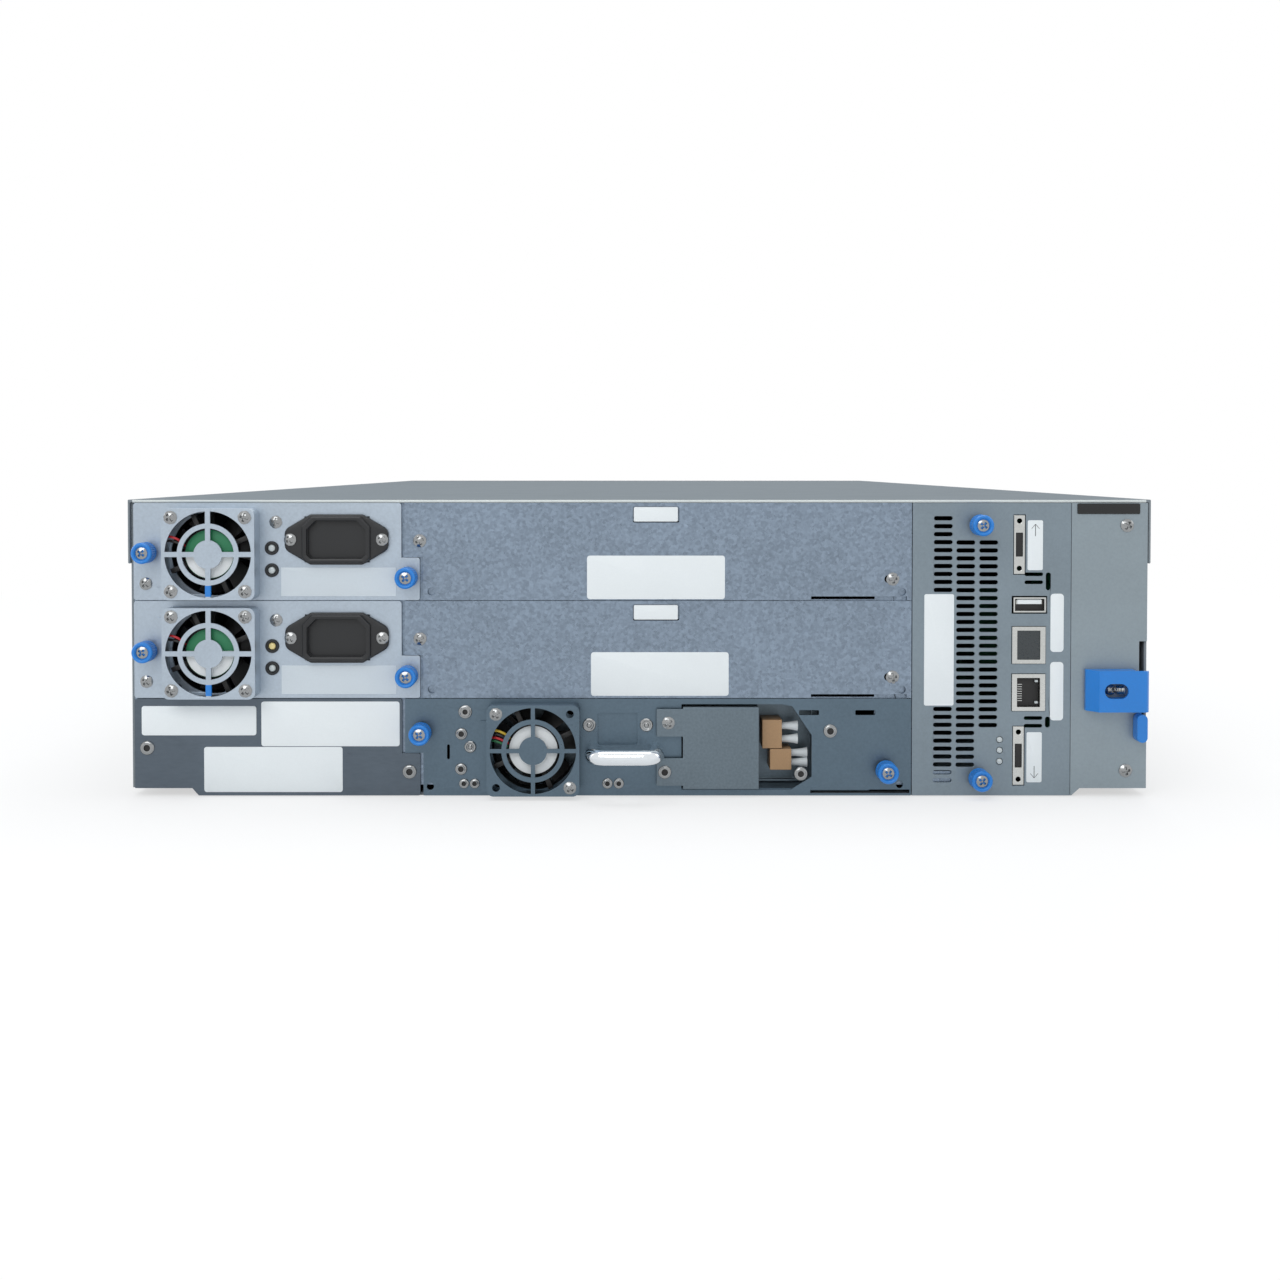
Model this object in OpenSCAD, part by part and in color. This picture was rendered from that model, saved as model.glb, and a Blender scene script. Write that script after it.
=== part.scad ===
// Data tape library: a rack chassis with pull-out power supplies, a tape drive sled, a library
// controller, two cartridge magazines and a cartridge robot. Millimetres, +Z up.
// The rear panels face -Y, the front bezel faces +Y, and X runs to the right seen from the rear.

/* [Overall] */
// Width over the side walls of the chassis
body_w = 446; // [430:1:540]
// Depth from the rear panels to the back of the front bezel
body_d = 830; // [800:5:1000]
// Height of one row of the rear bays, of which there are three
row_h = 43; // [43:0.5:54]
// Depth of the moulded front bezel
bezel_d = 30; // [24:1:45]
// Thickness of the plates, tray and covers
sheet = 1.2; // [0.8:0.1:1.5]
// Clearance between pieces that move or lie apart
gap = 0.3; // [0.2:0.05:0.4]

/* [Rear bays] */
// Pitch of the left column, which holds the power supplies
left_w = 118.7; // [118.7:0.1:126]
// Width of the foot at the lower right of a power supply plate
foot_w = 8; // [6:0.5:10]
// Height of that foot
foot_h = 18.6; // [15:0.2:20]
// Width of the controller plate
ctrl_w = 69.4; // [69.4:0.2:80]
// Width of the latch plate at the right edge
latch_w = 33.3; // [33:0.1:38]
// Depth of the partitions between the bays
frame_d = 186; // [120:1:186]

/* [Power supplies] */
// Depth of the power supply case
psu_d = 188; // [150:1:200]
// Width of the power supply case
psu_w = 105; // [104:0.2:106]
// Size of the square fans
fan_size = 40; // [38:0.5:40]
// Thickness of the fans
fan_t = 10; // [10:0.5:15]
// Radius of the fan opening
fan_r = 18.7; // [16:0.1:18.9]
// Half the distance between two fan screws
fan_pitch = 16; // [15:0.1:16.2]
// How far the fan guard stands proud of its plate
guard_out = 9.5; // [6:0.5:12]

/* [Thumbscrews] */
// Radius of a thumbscrew's head
knob_r = 4.7; // [4:0.1:5.7]
// How far a thumbscrew stands proud of its plate
knob_out = 10.5; // [8:0.5:13]

/* [Drive sled] */
// Depth of the sled's tray
sled_d = 288; // [250:1:300]
// Width of the tape drive
drive_w = 146; // [140:1:149]
// Length of the tape drive
drive_l = 212; // [180:1:212]
// How far the sled handle stands proud
handle_out = 22; // [20:1:28]

/* [Controller] */
// Depth of the controller's tray
ctrl_d = 220; // [180:1:240]
// Pitch of the ventilation slots
vent_pitch = 3.49; // [3.2:0.01:4]

/* [Magazines] */
// Width of a tape cartridge, along the magazine
cart_w = 105.4; // [100:0.1:127]
// Length of a tape cartridge, into the magazine
cart_l = 102; // [100:0.1:102.5]
// Thickness of a tape cartridge
cart_t = 21.5; // [18:0.1:21.5]
// Cartridges along one magazine
mag_cols = 4; // [3:1:4]
// Cartridges on top of each other
mag_rows = 5; // [4:1:5]

/* [Front] */
// How far a rack ear reaches out from the side wall
ear_reach = 18.3; // [17:0.1:20]
// Vertical distance between the rack screws of one ear
rack_rise = 76.2; // [44:0.1:88.9]
// Travel of the front panel buttons
press = 0.8; // [0.5:0.1:1]

/* [Hidden] */
$fn = 48;
eps = 0.01;

// Places that follow from the sizes above. Y counts from the rear face of the panels here.
rear_out = max(handle_out, knob_out + 0.6); // furthest piece behind the panels
button_out = press + 0.4;                   // furthest piece before the bezel
total_d = rear_out + body_d + bezel_d + button_out;
rear_y = rear_out - total_d / 2;            // rear panels in the part's own frame
body_h = 3 * row_h + sheet;
row_gap = 0.4;                              // gap between neighbouring plates
plate_h = row_h - row_gap;
plate_x = -body_w / 2 + 1.5;                // left edge of the left column
right_x = body_w / 2 - 0.4;                 // right edge of the latch plate
latch_x = right_x - latch_w;
ctrl_x = latch_x - 0.2 - ctrl_w;
bay_x = plate_x + left_w;
bay_w = ctrl_x - row_gap - bay_x;
left_plate_w = left_w - 1.4;
frame_y = sheet + gap;                      // front of everything behind the plates

// Side relief along the bottom, where the chassis sits on the rack rails
rail_in = 33;                               // how far the relief reaches in from the side
rail_up = 3.4;

// Magazines
wall = 1.5;
shelf = 1.1;
mag_floor = rail_up + sheet + 1.3;          // top of the runners
mag_z = mag_floor + gap;
cell_pitch = cart_w + 2.8;
cell_rise = cart_t + 0.5 + shelf;
divider = 1.3;
mag_l = mag_cols * cell_pitch + divider;
mag_x = body_w / 2 - 3.5;                   // outer face of a magazine
mag_w = cart_l + 5;
mag_front = body_d - 2;
mag_rear = mag_front - mag_l;
ledge = 4;

// Robot
grip_w = cart_w + 2.6;
grip_l = cart_l - 2;
grip_h = cart_t + 3.5;
swing = norm([grip_w, grip_l]) / 2;         // radius that the turning gripper sweeps
mast_y = body_d - 32;
robot_y = mast_y - ceil(swing) - 6;         // turning centre at home
rail_in_x = mag_x - mag_w - 16;             // inner side of a robot rail
rail_w = 6;
rail_top = 9.2;

// Front bezel
opening_in = mag_x - mag_w - 1.6;           // inner edge of a magazine opening
opening_out = mag_x + 1.4;
front_y = body_d + bezel_d;

// ---- helpers ----

// A plate parallel to the panels, from y to y + t, cut from an outline in X and Z
module upright(y, t) {
    rotate([90, 0, 0]) translate([0, 0, -(y + t)]) linear_extrude(t) children();
}

// A shape from an outline in Y and Z, carried along X from x to x + l
module across(x, l) {
    translate([x, 0, 0]) rotate([90, 0, 90]) linear_extrude(l) children();
}

// A block from its low corner to its high corner
module block(a, b) {
    translate(a) cube(b - a);
}

// A round bar along Y
module bar_y(x, z, y0, y1, r) {
    translate([x, y0, z]) rotate([-90, 0, 0]) cylinder(r = r, h = y1 - y0);
}

module rounded(x0, z0, x1, z1, r) {
    translate([x0 + r, z0]) square([x1 - x0 - 2 * r, z1 - z0]);
    translate([x0, z0 + r]) square([x1 - x0, z1 - z0 - 2 * r]);
    for (x = [x0 + r, x1 - r], z = [z0 + r, z1 - r]) translate([x, z]) circle(r = r);
}

module box2(x0, z0, x1, z1) {
    translate([x0, z0]) square([x1 - x0, z1 - z0]);
}

// A slot with round ends, along its longer side
module obround(x0, z0, x1, z1) {
    r = min(x1 - x0, z1 - z0) / 2;
    dx = x1 - x0 > z1 - z0 ? r : 0;
    dz = r - dx;
    box2(x0 + dx, z0 + dz, x1 - dx, z1 - dz);
    for (p = [[x0 + r, z0 + r], [x1 - r, z1 - r]]) translate(p) circle(r = r);
}

module hole(x, z, r) {
    translate([x, z]) circle(r = r);
}

// A pan-head screw through a plate whose front face is at y
module screw(x, z, y, r, l = 5) {
    difference() {
        union() {
            bar_y(x, z, y - 1.5, y, r);
            bar_y(x, z, y - eps, y + l, r * 0.48);
        }
        for (s = [[0.62, 0.14], [0.14, 0.62]])
            block([x - r * s[0], y - 2, z - r * s[1]], [x + r * s[0], y - 0.7, z + r * s[1]]);
    }
}

// A clinch nut standing on a plate whose front face is at y
module clinch_nut(x, z, y, r, bore) {
    difference() {
        bar_y(x, z, y - 1.1, y, r);
        bar_y(x, z, y - 2, y + 1, bore);
    }
}

// A captive thumbscrew: its head, a collar and the threaded shank behind the plate
shank_r = 1.9;
shank_hole = shank_r + gap;
module thumbscrew(x, z) {
    bar_y(x, z, -knob_out, -2.4, knob_r);
    bar_y(x, z, -knob_out - 0.6, -gap, 2.8);
    bar_y(x, z, -gap - eps, 9, shank_r);
}

// Outline of a left column plate, drawn from its own lower left corner
module left_outline(foot) {
    rounded(0, 0, left_plate_w, plate_h, 1.2);
    box2(1.2, 0, left_plate_w - 1.2, 2.4);
    if (foot) rounded(left_plate_w - 4, 0, left_plate_w + foot_w, foot_h, 0.9);
}

// Outline of a plate over a drive bay, with room for the foot beside it
module bay_outline() {
    difference() {
        box2(0, 0, bay_w, plate_h);
        box2(-1, -1, foot_w, foot_h + 0.2);
    }
}

function row_z(i) = i * row_h + row_gap / 2;

// ---- positions on a left column plate ----
knob_u = 6.5;
knob_v = plate_h / 2 - 0.3;
foot_knob = [left_plate_w + 3, foot_h / 2 + 0.9];
case_u = knob_u + shank_hole + 1.3;
fan_u = 35.1;
fan_v = plate_h / 2 - 0.8;
fan_holes = [for (i = [-1, 1], j = [-1, 1]) [i * fan_pitch, j * fan_pitch]];
inlet_u = 89.2;
inlet_v = plate_h - 16;
inlet_ear = 20.05;
led_u = 60.6;
led_v = [plate_h / 2 + 1.5, plate_h / 2 - 8.2];
plate_screws = [[5.4, 7.2], [62.4, plate_h - 8.4]];

// ---- positions on a bay cover and on the sled ----
cover_screws = [[6.7, 26], [bay_w - 10.2, 9.2]];
sled_knobs = [[7.4, 28.2], [bay_w - 11.4, 11.5]];
sled_fan_u = 56.7;
sled_fan_v = plate_h / 2;
drive_u = 37;
sled_floor = 2;                             // underside of the sled's floor
drive_y = 14;
port_u = 121.9;                             // left edge of the drive's rear box
port_w = 33.2;
handle_u = [82.5, 110.3];
handle_v = 20.1;
handle_r = 3.3;

// ---- positions on the controller plate, measured from its middle height ----
mid = body_h / 2;
vent_cols = [[9.3, 0], [19.2, 10.6], [29.2, 10.6]];
vent_slot = [8.2, 1.9];
vent_top = body_h - 7.2;
vent_foot = [6.4, 13.4, 31];
ctrl_knobs = [[28.8, body_h - 11], [28.8, 8.3]];
ctrl_floor = 11.4;                          // underside of the controller's tray
usb = [51.3, 19];
jacks_u = 51;
jacks_v = [1.3, -19.5];
jack_size = [14.6, 16.2];
jack_hole = [10, 12.7];
module_ports = [[46.8, 45.4], [46.8, -47.4]];
ctrl_leds = [for (v = [-40.3, -45, -49.9]) [38.5, v]];
ctrl_slots = [[49.1, 31.6], [49.1, 28.1], [49.1, -31.6], [49.1, -35]];
ctrl_slits = [[58.4, 25.4, 7.8], [58.4, -35, 4.8]];

// ---- positions on the latch plate ----
lever_u = latch_w - 3.7;
lever_l = 12.2;
lever_up = 31;
lever_v = 24.5;
stem_u = latch_w - 2;
lock = [6, 38, 32, 56];                     // u0, v0, u1, v1 of the lock block
lock_out = 8;
lock_slot = [12.6, 43.9, 22.9, 50.4];
lock_screw = [16.6, 47.1];
latch_screws = [[23.9, body_h - 11], [23.9, 11.6]];

module at_rear() {
    translate([0, rear_y, 0]) children();
}

module on_left(row) {
    translate([plate_x, rear_y, row_z(row)]) children();
}

module on_bay(row) {
    translate([bay_x, rear_y, row_z(row)]) children();
}

module on_ctrl() {
    translate([ctrl_x, rear_y, 0]) children();
}

module on_latch() {
    translate([latch_x, rear_y, 0]) children();
}

// ---- chassis ----

// Profile of the tray in X and Z: the floor, the raised strips over the rack rails, the walls
module tray_profile() {
    half = body_w / 2;
    top = body_h - sheet - 0.1;
    polygon([
        [-half + rail_in, 0], [half - rail_in, 0], [half - rail_in + rail_up, rail_up],
        [half, rail_up], [half, top], [half - sheet, top], [half - sheet, rail_up + sheet],
        [half - rail_in + rail_up - sheet / 2, rail_up + sheet],
        [half - rail_in - sheet / 2, sheet], [-half + rail_in + sheet / 2, sheet],
        [-half + rail_in - rail_up + sheet / 2, rail_up + sheet],
        [-half + sheet, rail_up + sheet], [-half + sheet, top], [-half, top],
        [-half, rail_up], [-half + rail_in - rail_up, rail_up]
    ]);
}

module base_tray() {
    outer = mag_x - 5;
    inner = mag_x - mag_w + 2;
    color("lightslategray") at_rear() {
        upright(frame_y, body_d - frame_y) tray_profile();
        for (s = [-1, 1]) {
            // runners under the magazines
            block([s > 0 ? outer - 4 : -outer, mag_rear - 10, rail_up + sheet - eps],
                  [s > 0 ? outer : -outer + 4, body_d, mag_floor]);
            block([s > 0 ? inner : -inner - 4, mag_rear - 10, sheet - eps],
                  [s > 0 ? inner + 4 : -inner, body_d, mag_floor]);
        }
    }
}

module top_cover() {
    skirt = 28;
    skirt_t = 1;
    color("slategray") at_rear() {
        difference() {
            block([-body_w / 2 - skirt_t, 0, body_h - skirt],
                  [body_w / 2 + skirt_t, body_d, body_h]);
            block([-body_w / 2, -1, body_h - skirt - 1],
                  [body_w / 2, body_d + 1, body_h - sheet]);
        }
    }
}

// Partitions between the rear bays, with the flange that the plates are screwed to
module rear_frame() {
    part_t = 1;
    top = body_h - sheet - 0.1;
    x0 = -body_w / 2 + sheet;
    x1 = body_w / 2 - sheet;
    left_part = plate_x + case_u + psu_w + 1;
    ctrl_part = ctrl_x - 0.2 - part_t / 2;
    latch_part = latch_x - 0.1 - part_t / 2;
    low = rail_up + sheet;
    color("gray") at_rear() {
        // the flange behind the plates
        upright(frame_y, sheet) difference() {
            box2(x0, low, x1, top);
            // power supply and lower left openings
            for (i = [0:2])
                box2(plate_x + case_u - 0.4, i == 0 ? low + 1 : row_z(i) + 0.3,
                     plate_x + case_u + psu_w + 0.4, row_z(i) + plate_h - 0.7);
            // drive bays, the lowest open down to the tray
            for (i = [0:2])
                box2(bay_x + foot_w + 7, i == 0 ? 0 : row_z(i) + 0.3,
                     bay_x + bay_w - 16, row_z(i) + plate_h - 0.7);
            // controller bay, beside the tabs that its thumbscrews hold to
            difference() {
                box2(ctrl_x + 1.2, ctrl_floor - 0.6, ctrl_x + ctrl_w - 1.2, top - 1);
                box2(ctrl_x + ctrl_knobs[0][0] - 6, ctrl_knobs[0][1] - 6,
                     ctrl_x + ctrl_knobs[0][0] + 8, top);
            }
            box2(ctrl_x + module_ports[1][0] - 4, 0, ctrl_x + ctrl_w - 4, ctrl_floor);
            for (s = ctrl_knobs) hole(ctrl_x + s[0], s[1], shank_hole);
            // latch opening
            box2(latch_x + 4, 20, latch_x + latch_w, 72);
            // shanks of the thumbscrews and the plate screws
            for (i = [1, 2]) {
                hole(plate_x + knob_u, row_z(i) + knob_v, shank_hole);
                hole(plate_x + foot_knob[0], row_z(i) + foot_knob[1], shank_hole);
                for (s = cover_screws) hole(bay_x + s[0], row_z(i) + s[1], 1.7);
                hole(plate_x + plate_screws[0][0], row_z(i) + plate_screws[0][1], 1.9);
            }
            for (s = sled_knobs) hole(bay_x + s[0], row_z(0) + s[1], shank_hole);
            for (s = latch_screws) hole(latch_x + s[0], s[1], 1.7);
        }
        // uprights and shelves
        for (x = [left_part, ctrl_part, latch_part])
            block([x, frame_y + sheet - eps, low], [x + part_t, frame_d, top]);
        for (i = [1, 2]) {
            z = i * row_h - part_t / 2;
            block([x0, frame_y + sheet - eps, z], [left_part + eps, frame_d, z + part_t]);
            block([left_part + part_t - eps, frame_y + sheet - eps, z],
                  [ctrl_part + eps, frame_d, z + part_t]);
        }
    }
}

module product_plate() {
    color("dimgray") on_left(0) upright(0, sheet) difference() {
        left_outline(true);
        // the relief over the rack rail
        polygon([[-1, -1], [rail_in - rail_up - 1.5, -1], [rail_in - rail_up - 1.5, -0.2],
                 [rail_in - rail_up - 4.5, rail_up - 0.2], [-1, rail_up - 0.2]]);
        hole(5.5, plate_h / 2 - 0.3, 1.3);
        hole(foot_knob[0] + 0.3, 10.5, 1.3);
    }
}

module latch_plate() {
    rail_u = body_w / 2 - rail_in - latch_x;
    color("lightgray") on_latch() upright(0, sheet) difference() {
        union() {
            box2(0, rail_up, latch_w, body_h - sheet - 0.2);
            // full height beside the relief over the rack rail
            polygon([[0, 0.2], [rail_u - 0.2, 0.2], [rail_u + rail_up, rail_up],
                     [rail_u + rail_up, rail_up + 1], [0, rail_up + 1]]);
        }
        // slot for the alignment lever, open to the right edge
        box2(stem_u - 1.4, lever_v - 0.4, latch_w + 1, lever_v + lever_l + lever_up + 0.4);
        hole(lock_screw[0], lock_screw[1], 1.4);
        for (s = latch_screws) hole(s[0], s[1], 1.7);
    }
}

// A blank cover over a drive bay: a plate with a returned lip, and its window tab
module bay_cover(row) {
    tab_u = bay_w * 0.45;
    lip = 10;
    color("silver") on_bay(row) {
        upright(0, sheet) difference() {
            bay_outline();
            for (s = cover_screws) hole(s[0], s[1], 1.7);
            hole(11.8, 3.8, 1.8);
            hole(bay_w - 4.2, 3.6, 1.8);
            // shallow notch along the bottom
            box2(bay_w - 44, -1, bay_w - 2, 1.6);
            // window of the folded tab
            rounded(tab_u, plate_h - 8.6, tab_u + 20.4, plate_h - 1.5, 0.8);
        }
        // returned lips above and below
        block([foot_w + 8, sheet - eps, plate_h - sheet - 1.2], [bay_w - 17, lip, plate_h - 1.2]);
        block([foot_w + 8, sheet - eps, 3.2], [bay_w - 48, lip, 3.2 + sheet]);
        // the folded tab behind its window
        block([tab_u - 1, sheet + 1, plate_h - 8], [tab_u + 21.4, sheet + 1.8, plate_h - 2]);
        block([tab_u - 1, sheet - eps, plate_h - 2.4], [tab_u + 21.4, sheet + 1.8, plate_h - 1.3]);
    }
}

module bay_cover_1() {
    bay_cover(2);
}

module bay_cover_2() {
    bay_cover(1);
}

// Fixed fasteners of the rear panels
module plate_fasteners() {
    color("darkgray") {
        for (row = [1, 2], s = cover_screws) on_bay(row) screw(s[0], s[1], 0, 2.8);
        for (s = latch_screws) on_latch() screw(s[0], s[1], 0, 2.8);
        on_latch() {
            screw(lock_screw[0], lock_screw[1], -2.2, 2.5, 5.5);
            bar_y(lock_screw[0], lock_screw[1], -2.2, 0, 1.5);
        }
        on_left(0) {
            clinch_nut(5.5, plate_h / 2 - 0.3, 0, 3.1, 1.3);
            clinch_nut(foot_knob[0] + 0.3, 10.5, 0, 3.1, 1.3);
        }
    }
}

// The closed coil of the return spring, seen in the lock block's slot
module latch_spring() {
    coil_r = 1.9;
    wire = 0.35;
    turns = 4;
    start = lock_screw[0] + 2.7;
    color("silver") on_latch() {
        for (i = [0:turns - 1])
            translate([start + wire + i * 0.8, -wire - coil_r, lock_screw[1]]) rotate([0, 90, 0])
                rotate_extrude() translate([coil_r, 0]) circle(r = wire, $fn = 16);
        block([start, -coil_r - 0.15, lock_screw[1] + coil_r - 0.2],
              [start + turns * 0.8 - 0.1, -coil_r + 0.15 - wire, lock_screw[1] + coil_r + 0.2]);
    }
}

// ---- latch ----

// Sliding block, hollow behind so that the lever passes under its right end
module lock_block() {
    skin = 1.4;
    color("dodgerblue") on_latch() difference() {
        // rounded face with a bevelled left end
        translate([0, 0, lock[1]]) linear_extrude(lock[3] - lock[1])
            polygon([[lock[0], -gap], [lock[0], -2.2], [lock[0] + 4.2, -lock_out],
                     [lock[2] - 1.2, -lock_out], [lock[2], -lock_out + 1.2], [lock[2], -gap]]);
        // hollow behind the slot, long enough for the travel
        block([lock_slot[0] - 0.2, -lock_out + skin, lock_slot[1] - 0.3],
              [lever_u - 2, 1, lock_slot[3] + 0.3]);
        upright(-lock_out - 1, lock_out + 2)
            obround(lock_slot[0], lock_slot[1], lock_slot[2], lock_slot[3]);
        // channel for the lever
        block([lever_u - 2.8, -lock_out + skin, lock[1] - 1], [lock[2] + 1, 1, lock[3] + 1]);
    }
}

module alignment_lever() {
    tip_r = 2.25;
    color("dodgerblue") on_latch() {
        // tip that the fingers hold
        upright(-6.2, 6.2 - gap) {
            hole(lever_u, lever_v + tip_r, tip_r);
            hole(lever_u, lever_v + lever_l - tip_r, tip_r);
            box2(lever_u - tip_r, lever_v + tip_r, lever_u + tip_r, lever_v + lever_l - tip_r);
        }
        // stem through the slot
        block([stem_u - 0.9, -gap - 1, lever_v + 2], [stem_u + 0.7, 5, lever_v + lever_l - 2]);
        // shoe behind the plate
        block([stem_u - 4.4, frame_y + sheet + gap, lever_v], [stem_u + 0.7, 8, lever_v + lever_l]);
    }
}

// ---- power supplies ----

// Blades and hub of a fan whose frame starts at y
module rotor(u, v, y) {
    hub_r = 6.2;
    blades = 7;
    blade_l = fan_r - hub_r - 1.2;
    translate([u, y + 1, v]) rotate([-90, 0, 0]) difference() {
        union() {
            cylinder(r = hub_r, h = fan_t - 3);
            for (i = [0:blades - 1]) rotate([0, 0, i * 360 / blades])
                translate([hub_r - 0.8, 0, (fan_t - 3) / 2]) rotate([35, 0, 0])
                    translate([0, -4, -0.4]) cube([blade_l + 0.8, 8, 0.8]);
        }
        translate([0, 0, 0.8]) cylinder(r = 1.5 + gap, h = fan_t);
    }
}

// Square fan housing with a shaft on a spider at its inner side
module fan_frame(u, v, y) {
    half = fan_size / 2 - 0.7;
    upright(y, fan_t) difference() {
        rounded(u - half, v - half, u + half, v + half, 2);
        hole(u, v, fan_r);
        for (h = fan_holes) hole(u + h[0], v + h[1], 1.7);
    }
    upright(y + fan_t - 1.2, 1.2) {
        hole(u, v, 6.5);
        for (a = [45, 135]) translate([u, v]) rotate(a)
            square([2 * fan_r + 1, 1.8], center = true);
    }
    bar_y(u, v, y + 2.4, y + fan_t - 1, 1.5);
}

// Guard box over a fan, with a ring on four spokes; ear_v is the height range of its ear
module fan_guard(u, v, ring_out, ring_in, hub_r, spoke, ear_v, ear_w) {
    half_w = 20.15;
    half_h = 19.8;
    upright(-guard_out, 1) {
        difference() {
            rounded(u - half_w, v - half_h, u + half_w, v + half_h, 3);
            hole(u, v, fan_r);
            for (h = fan_holes) hole(u + h[0], v + h[1], 1.7);
        }
        difference() {
            hole(u, v, ring_out);
            hole(u, v, ring_in);
        }
        hole(u, v, hub_r);
        difference() {
            union() {
                box2(u - fan_r - 0.6, v - spoke / 2, u + fan_r + 0.6, v + spoke / 2);
                box2(u - spoke / 2, v - fan_r - 0.6, u + spoke / 2, v + fan_r + 0.6);
            }
            difference() {
                hole(u, v, ring_in + 0.2);
                hole(u, v, hub_r - 0.2);
            }
        }
        box2(u - ring_in - 0.4, v - spoke / 2, u + ring_in + 0.4, v + spoke / 2);
        box2(u - spoke / 2, v - ring_in - 0.4, u + spoke / 2, v + ring_in + 0.4);
    }
    // sides of the box
    upright(-guard_out + 1 - eps, guard_out - 1 + eps) difference() {
        rounded(u - half_w, v - half_h, u + half_w, v + half_h, 3);
        rounded(u - half_w + 0.9, v - half_h + 0.9, u + half_w - 0.9, v + half_h - 0.9, 2.1);
    }
    // ear beside the guard
    upright(-0.9, 0.9) box2(u - half_w - ear_w, ear_v[0], u - half_w + 0.5, ear_v[1]);
}

module psu_case() {
    t = 0.6;
    u0 = case_u;
    u1 = case_u + psu_w;
    v0 = 0.5;
    v1 = plate_h - 1.4;
    color("gainsboro") {
        upright(0, sheet) difference() {
            left_outline(true);
            hole(fan_u, fan_v, fan_r - 0.2);
            for (h = fan_holes) hole(fan_u + h[0], fan_v + h[1], 1.7);
            hole(knob_u, knob_v, shank_hole);
            hole(foot_knob[0], foot_knob[1], shank_hole);
            for (v = led_v) hole(led_u, v, 2.4);
            for (s = plate_screws) hole(s[0], s[1], 1.7);
            for (s = [-1, 1]) hole(inlet_u + s * inlet_ear, inlet_v, 1.5);
            box2(inlet_u - 14.3, inlet_v - 10.1, inlet_u + 14.3, inlet_v + 10.1);
        }
        difference() {
            block([u0, sheet - eps, v0], [u1, psu_d, v1]);
            block([u0 + t, -1, v0 + t], [u1 - t, psu_d - t, v1 - t]);
            // plug opening in the far end
            block([u0 + 20, psu_d - 5, v0 + 8], [u0 + 60, psu_d + 1, v0 + 22]);
        }
    }
}

// Appliance inlet with a flange, a raised rim, a recess and three pins
module psu_inlet() {
    color("black") {
        difference() {
            union() {
                upright(-2.2, 2.2) {
                    polygon([[inlet_u - 11.4, inlet_v + 11], [inlet_u - 22.6, inlet_v + 4.4],
                             [inlet_u - 22.6, inlet_v - 4.4], [inlet_u - 11.4, inlet_v - 11],
                             [inlet_u + 11.4, inlet_v - 11], [inlet_u + 22.6, inlet_v - 4.4],
                             [inlet_u + 22.6, inlet_v + 4.4], [inlet_u + 11.4, inlet_v + 11]]);
                    for (s = [-1, 1]) hole(inlet_u + s * inlet_ear, inlet_v, 5);
                }
                upright(-3.4, 3) rounded(inlet_u - 15.6, inlet_v - 10.2,
                                         inlet_u + 15.6, inlet_v + 10.2, 2);
                block([inlet_u - 14, -1, inlet_v - 9.8], [inlet_u + 14, 17, inlet_v + 9.8]);
            }
            // recess with bevelled corners, wider ones above
            upright(-6, 20) polygon([
                [inlet_u - 12.7, inlet_v - 6.4], [inlet_u - 10.9, inlet_v - 8.2],
                [inlet_u + 10.9, inlet_v - 8.2], [inlet_u + 12.7, inlet_v - 6.4],
                [inlet_u + 12.7, inlet_v + 4.4], [inlet_u + 8.8, inlet_v + 8.3],
                [inlet_u - 8.8, inlet_v + 8.3], [inlet_u - 12.7, inlet_v + 4.4]]);
            for (s = [-1, 1]) bar_y(inlet_u + s * inlet_ear, inlet_v, -4, 2, 1.5);
        }
        // pins, joined to the closed back
        for (p = [[0, 3.2, 1], [-7, -1.4, 1], [7, -1.4, 1]])
            block([inlet_u + p[0] - 1, 2, inlet_v + p[1] - 2],
                  [inlet_u + p[0] + 1, 14 + eps, inlet_v + p[1] + 2]);
    }
}

module psu_screws() {
    color("silver") {
        for (h = fan_holes) screw(fan_u + h[0], fan_v + h[1], -guard_out, 2.9, guard_out + 8);
        for (s = plate_screws) screw(s[0], s[1], 0, s == plate_screws[0] ? 2.2 : 2.8);
        for (s = [-1, 1]) screw(inlet_u + s * inlet_ear, inlet_v, -2.2, 2.4, 4);
    }
}

module psu_1_case() {
    on_left(2) psu_case();
}

module psu_2_case() {
    on_left(1) psu_case();
}

module psu_guard() {
    color("gainsboro") fan_guard(fan_u, fan_v, 13.4, 11.3, 6.2, 2.2, [6, 35.2], 4.9);
}

module psu_1_guard() {
    on_left(2) psu_guard();
}

module psu_2_guard() {
    on_left(1) psu_guard();
}

module psu_fan_frame() {
    color("dimgray") fan_frame(fan_u, fan_v, sheet);
}

module psu_1_fan_frame() {
    on_left(2) psu_fan_frame();
}

module psu_2_fan_frame() {
    on_left(1) psu_fan_frame();
}

module psu_rotor() {
    color("black") rotor(fan_u, fan_v, sheet);
}

module psu_1_fan_rotor() {
    on_left(2) psu_rotor();
}

module psu_2_fan_rotor() {
    on_left(1) psu_rotor();
}

module psu_1_inlet() {
    on_left(2) psu_inlet();
}

module psu_2_inlet() {
    on_left(1) psu_inlet();
}

module psu_1_screws() {
    on_left(2) psu_screws();
}

module psu_2_screws() {
    on_left(1) psu_screws();
}

module psu_1_knob_left() {
    color("dodgerblue") on_left(2) thumbscrew(knob_u, knob_v);
}

module psu_1_knob_right() {
    color("dodgerblue") on_left(2) thumbscrew(foot_knob[0], foot_knob[1]);
}

module psu_2_knob_left() {
    color("dodgerblue") on_left(1) thumbscrew(knob_u, knob_v);
}

module psu_2_knob_right() {
    color("dodgerblue") on_left(1) thumbscrew(foot_knob[0], foot_knob[1]);
}

// Board behind the power supplies, standing on the tray
module power_backplane() {
    y = psu_d + 6;
    color("darkgreen") at_rear()
        block([plate_x + 3, y, rail_up + sheet], [plate_x + left_w - 8, y + 1.6, body_h - 8]);
}

// ---- drive sled ----

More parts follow.
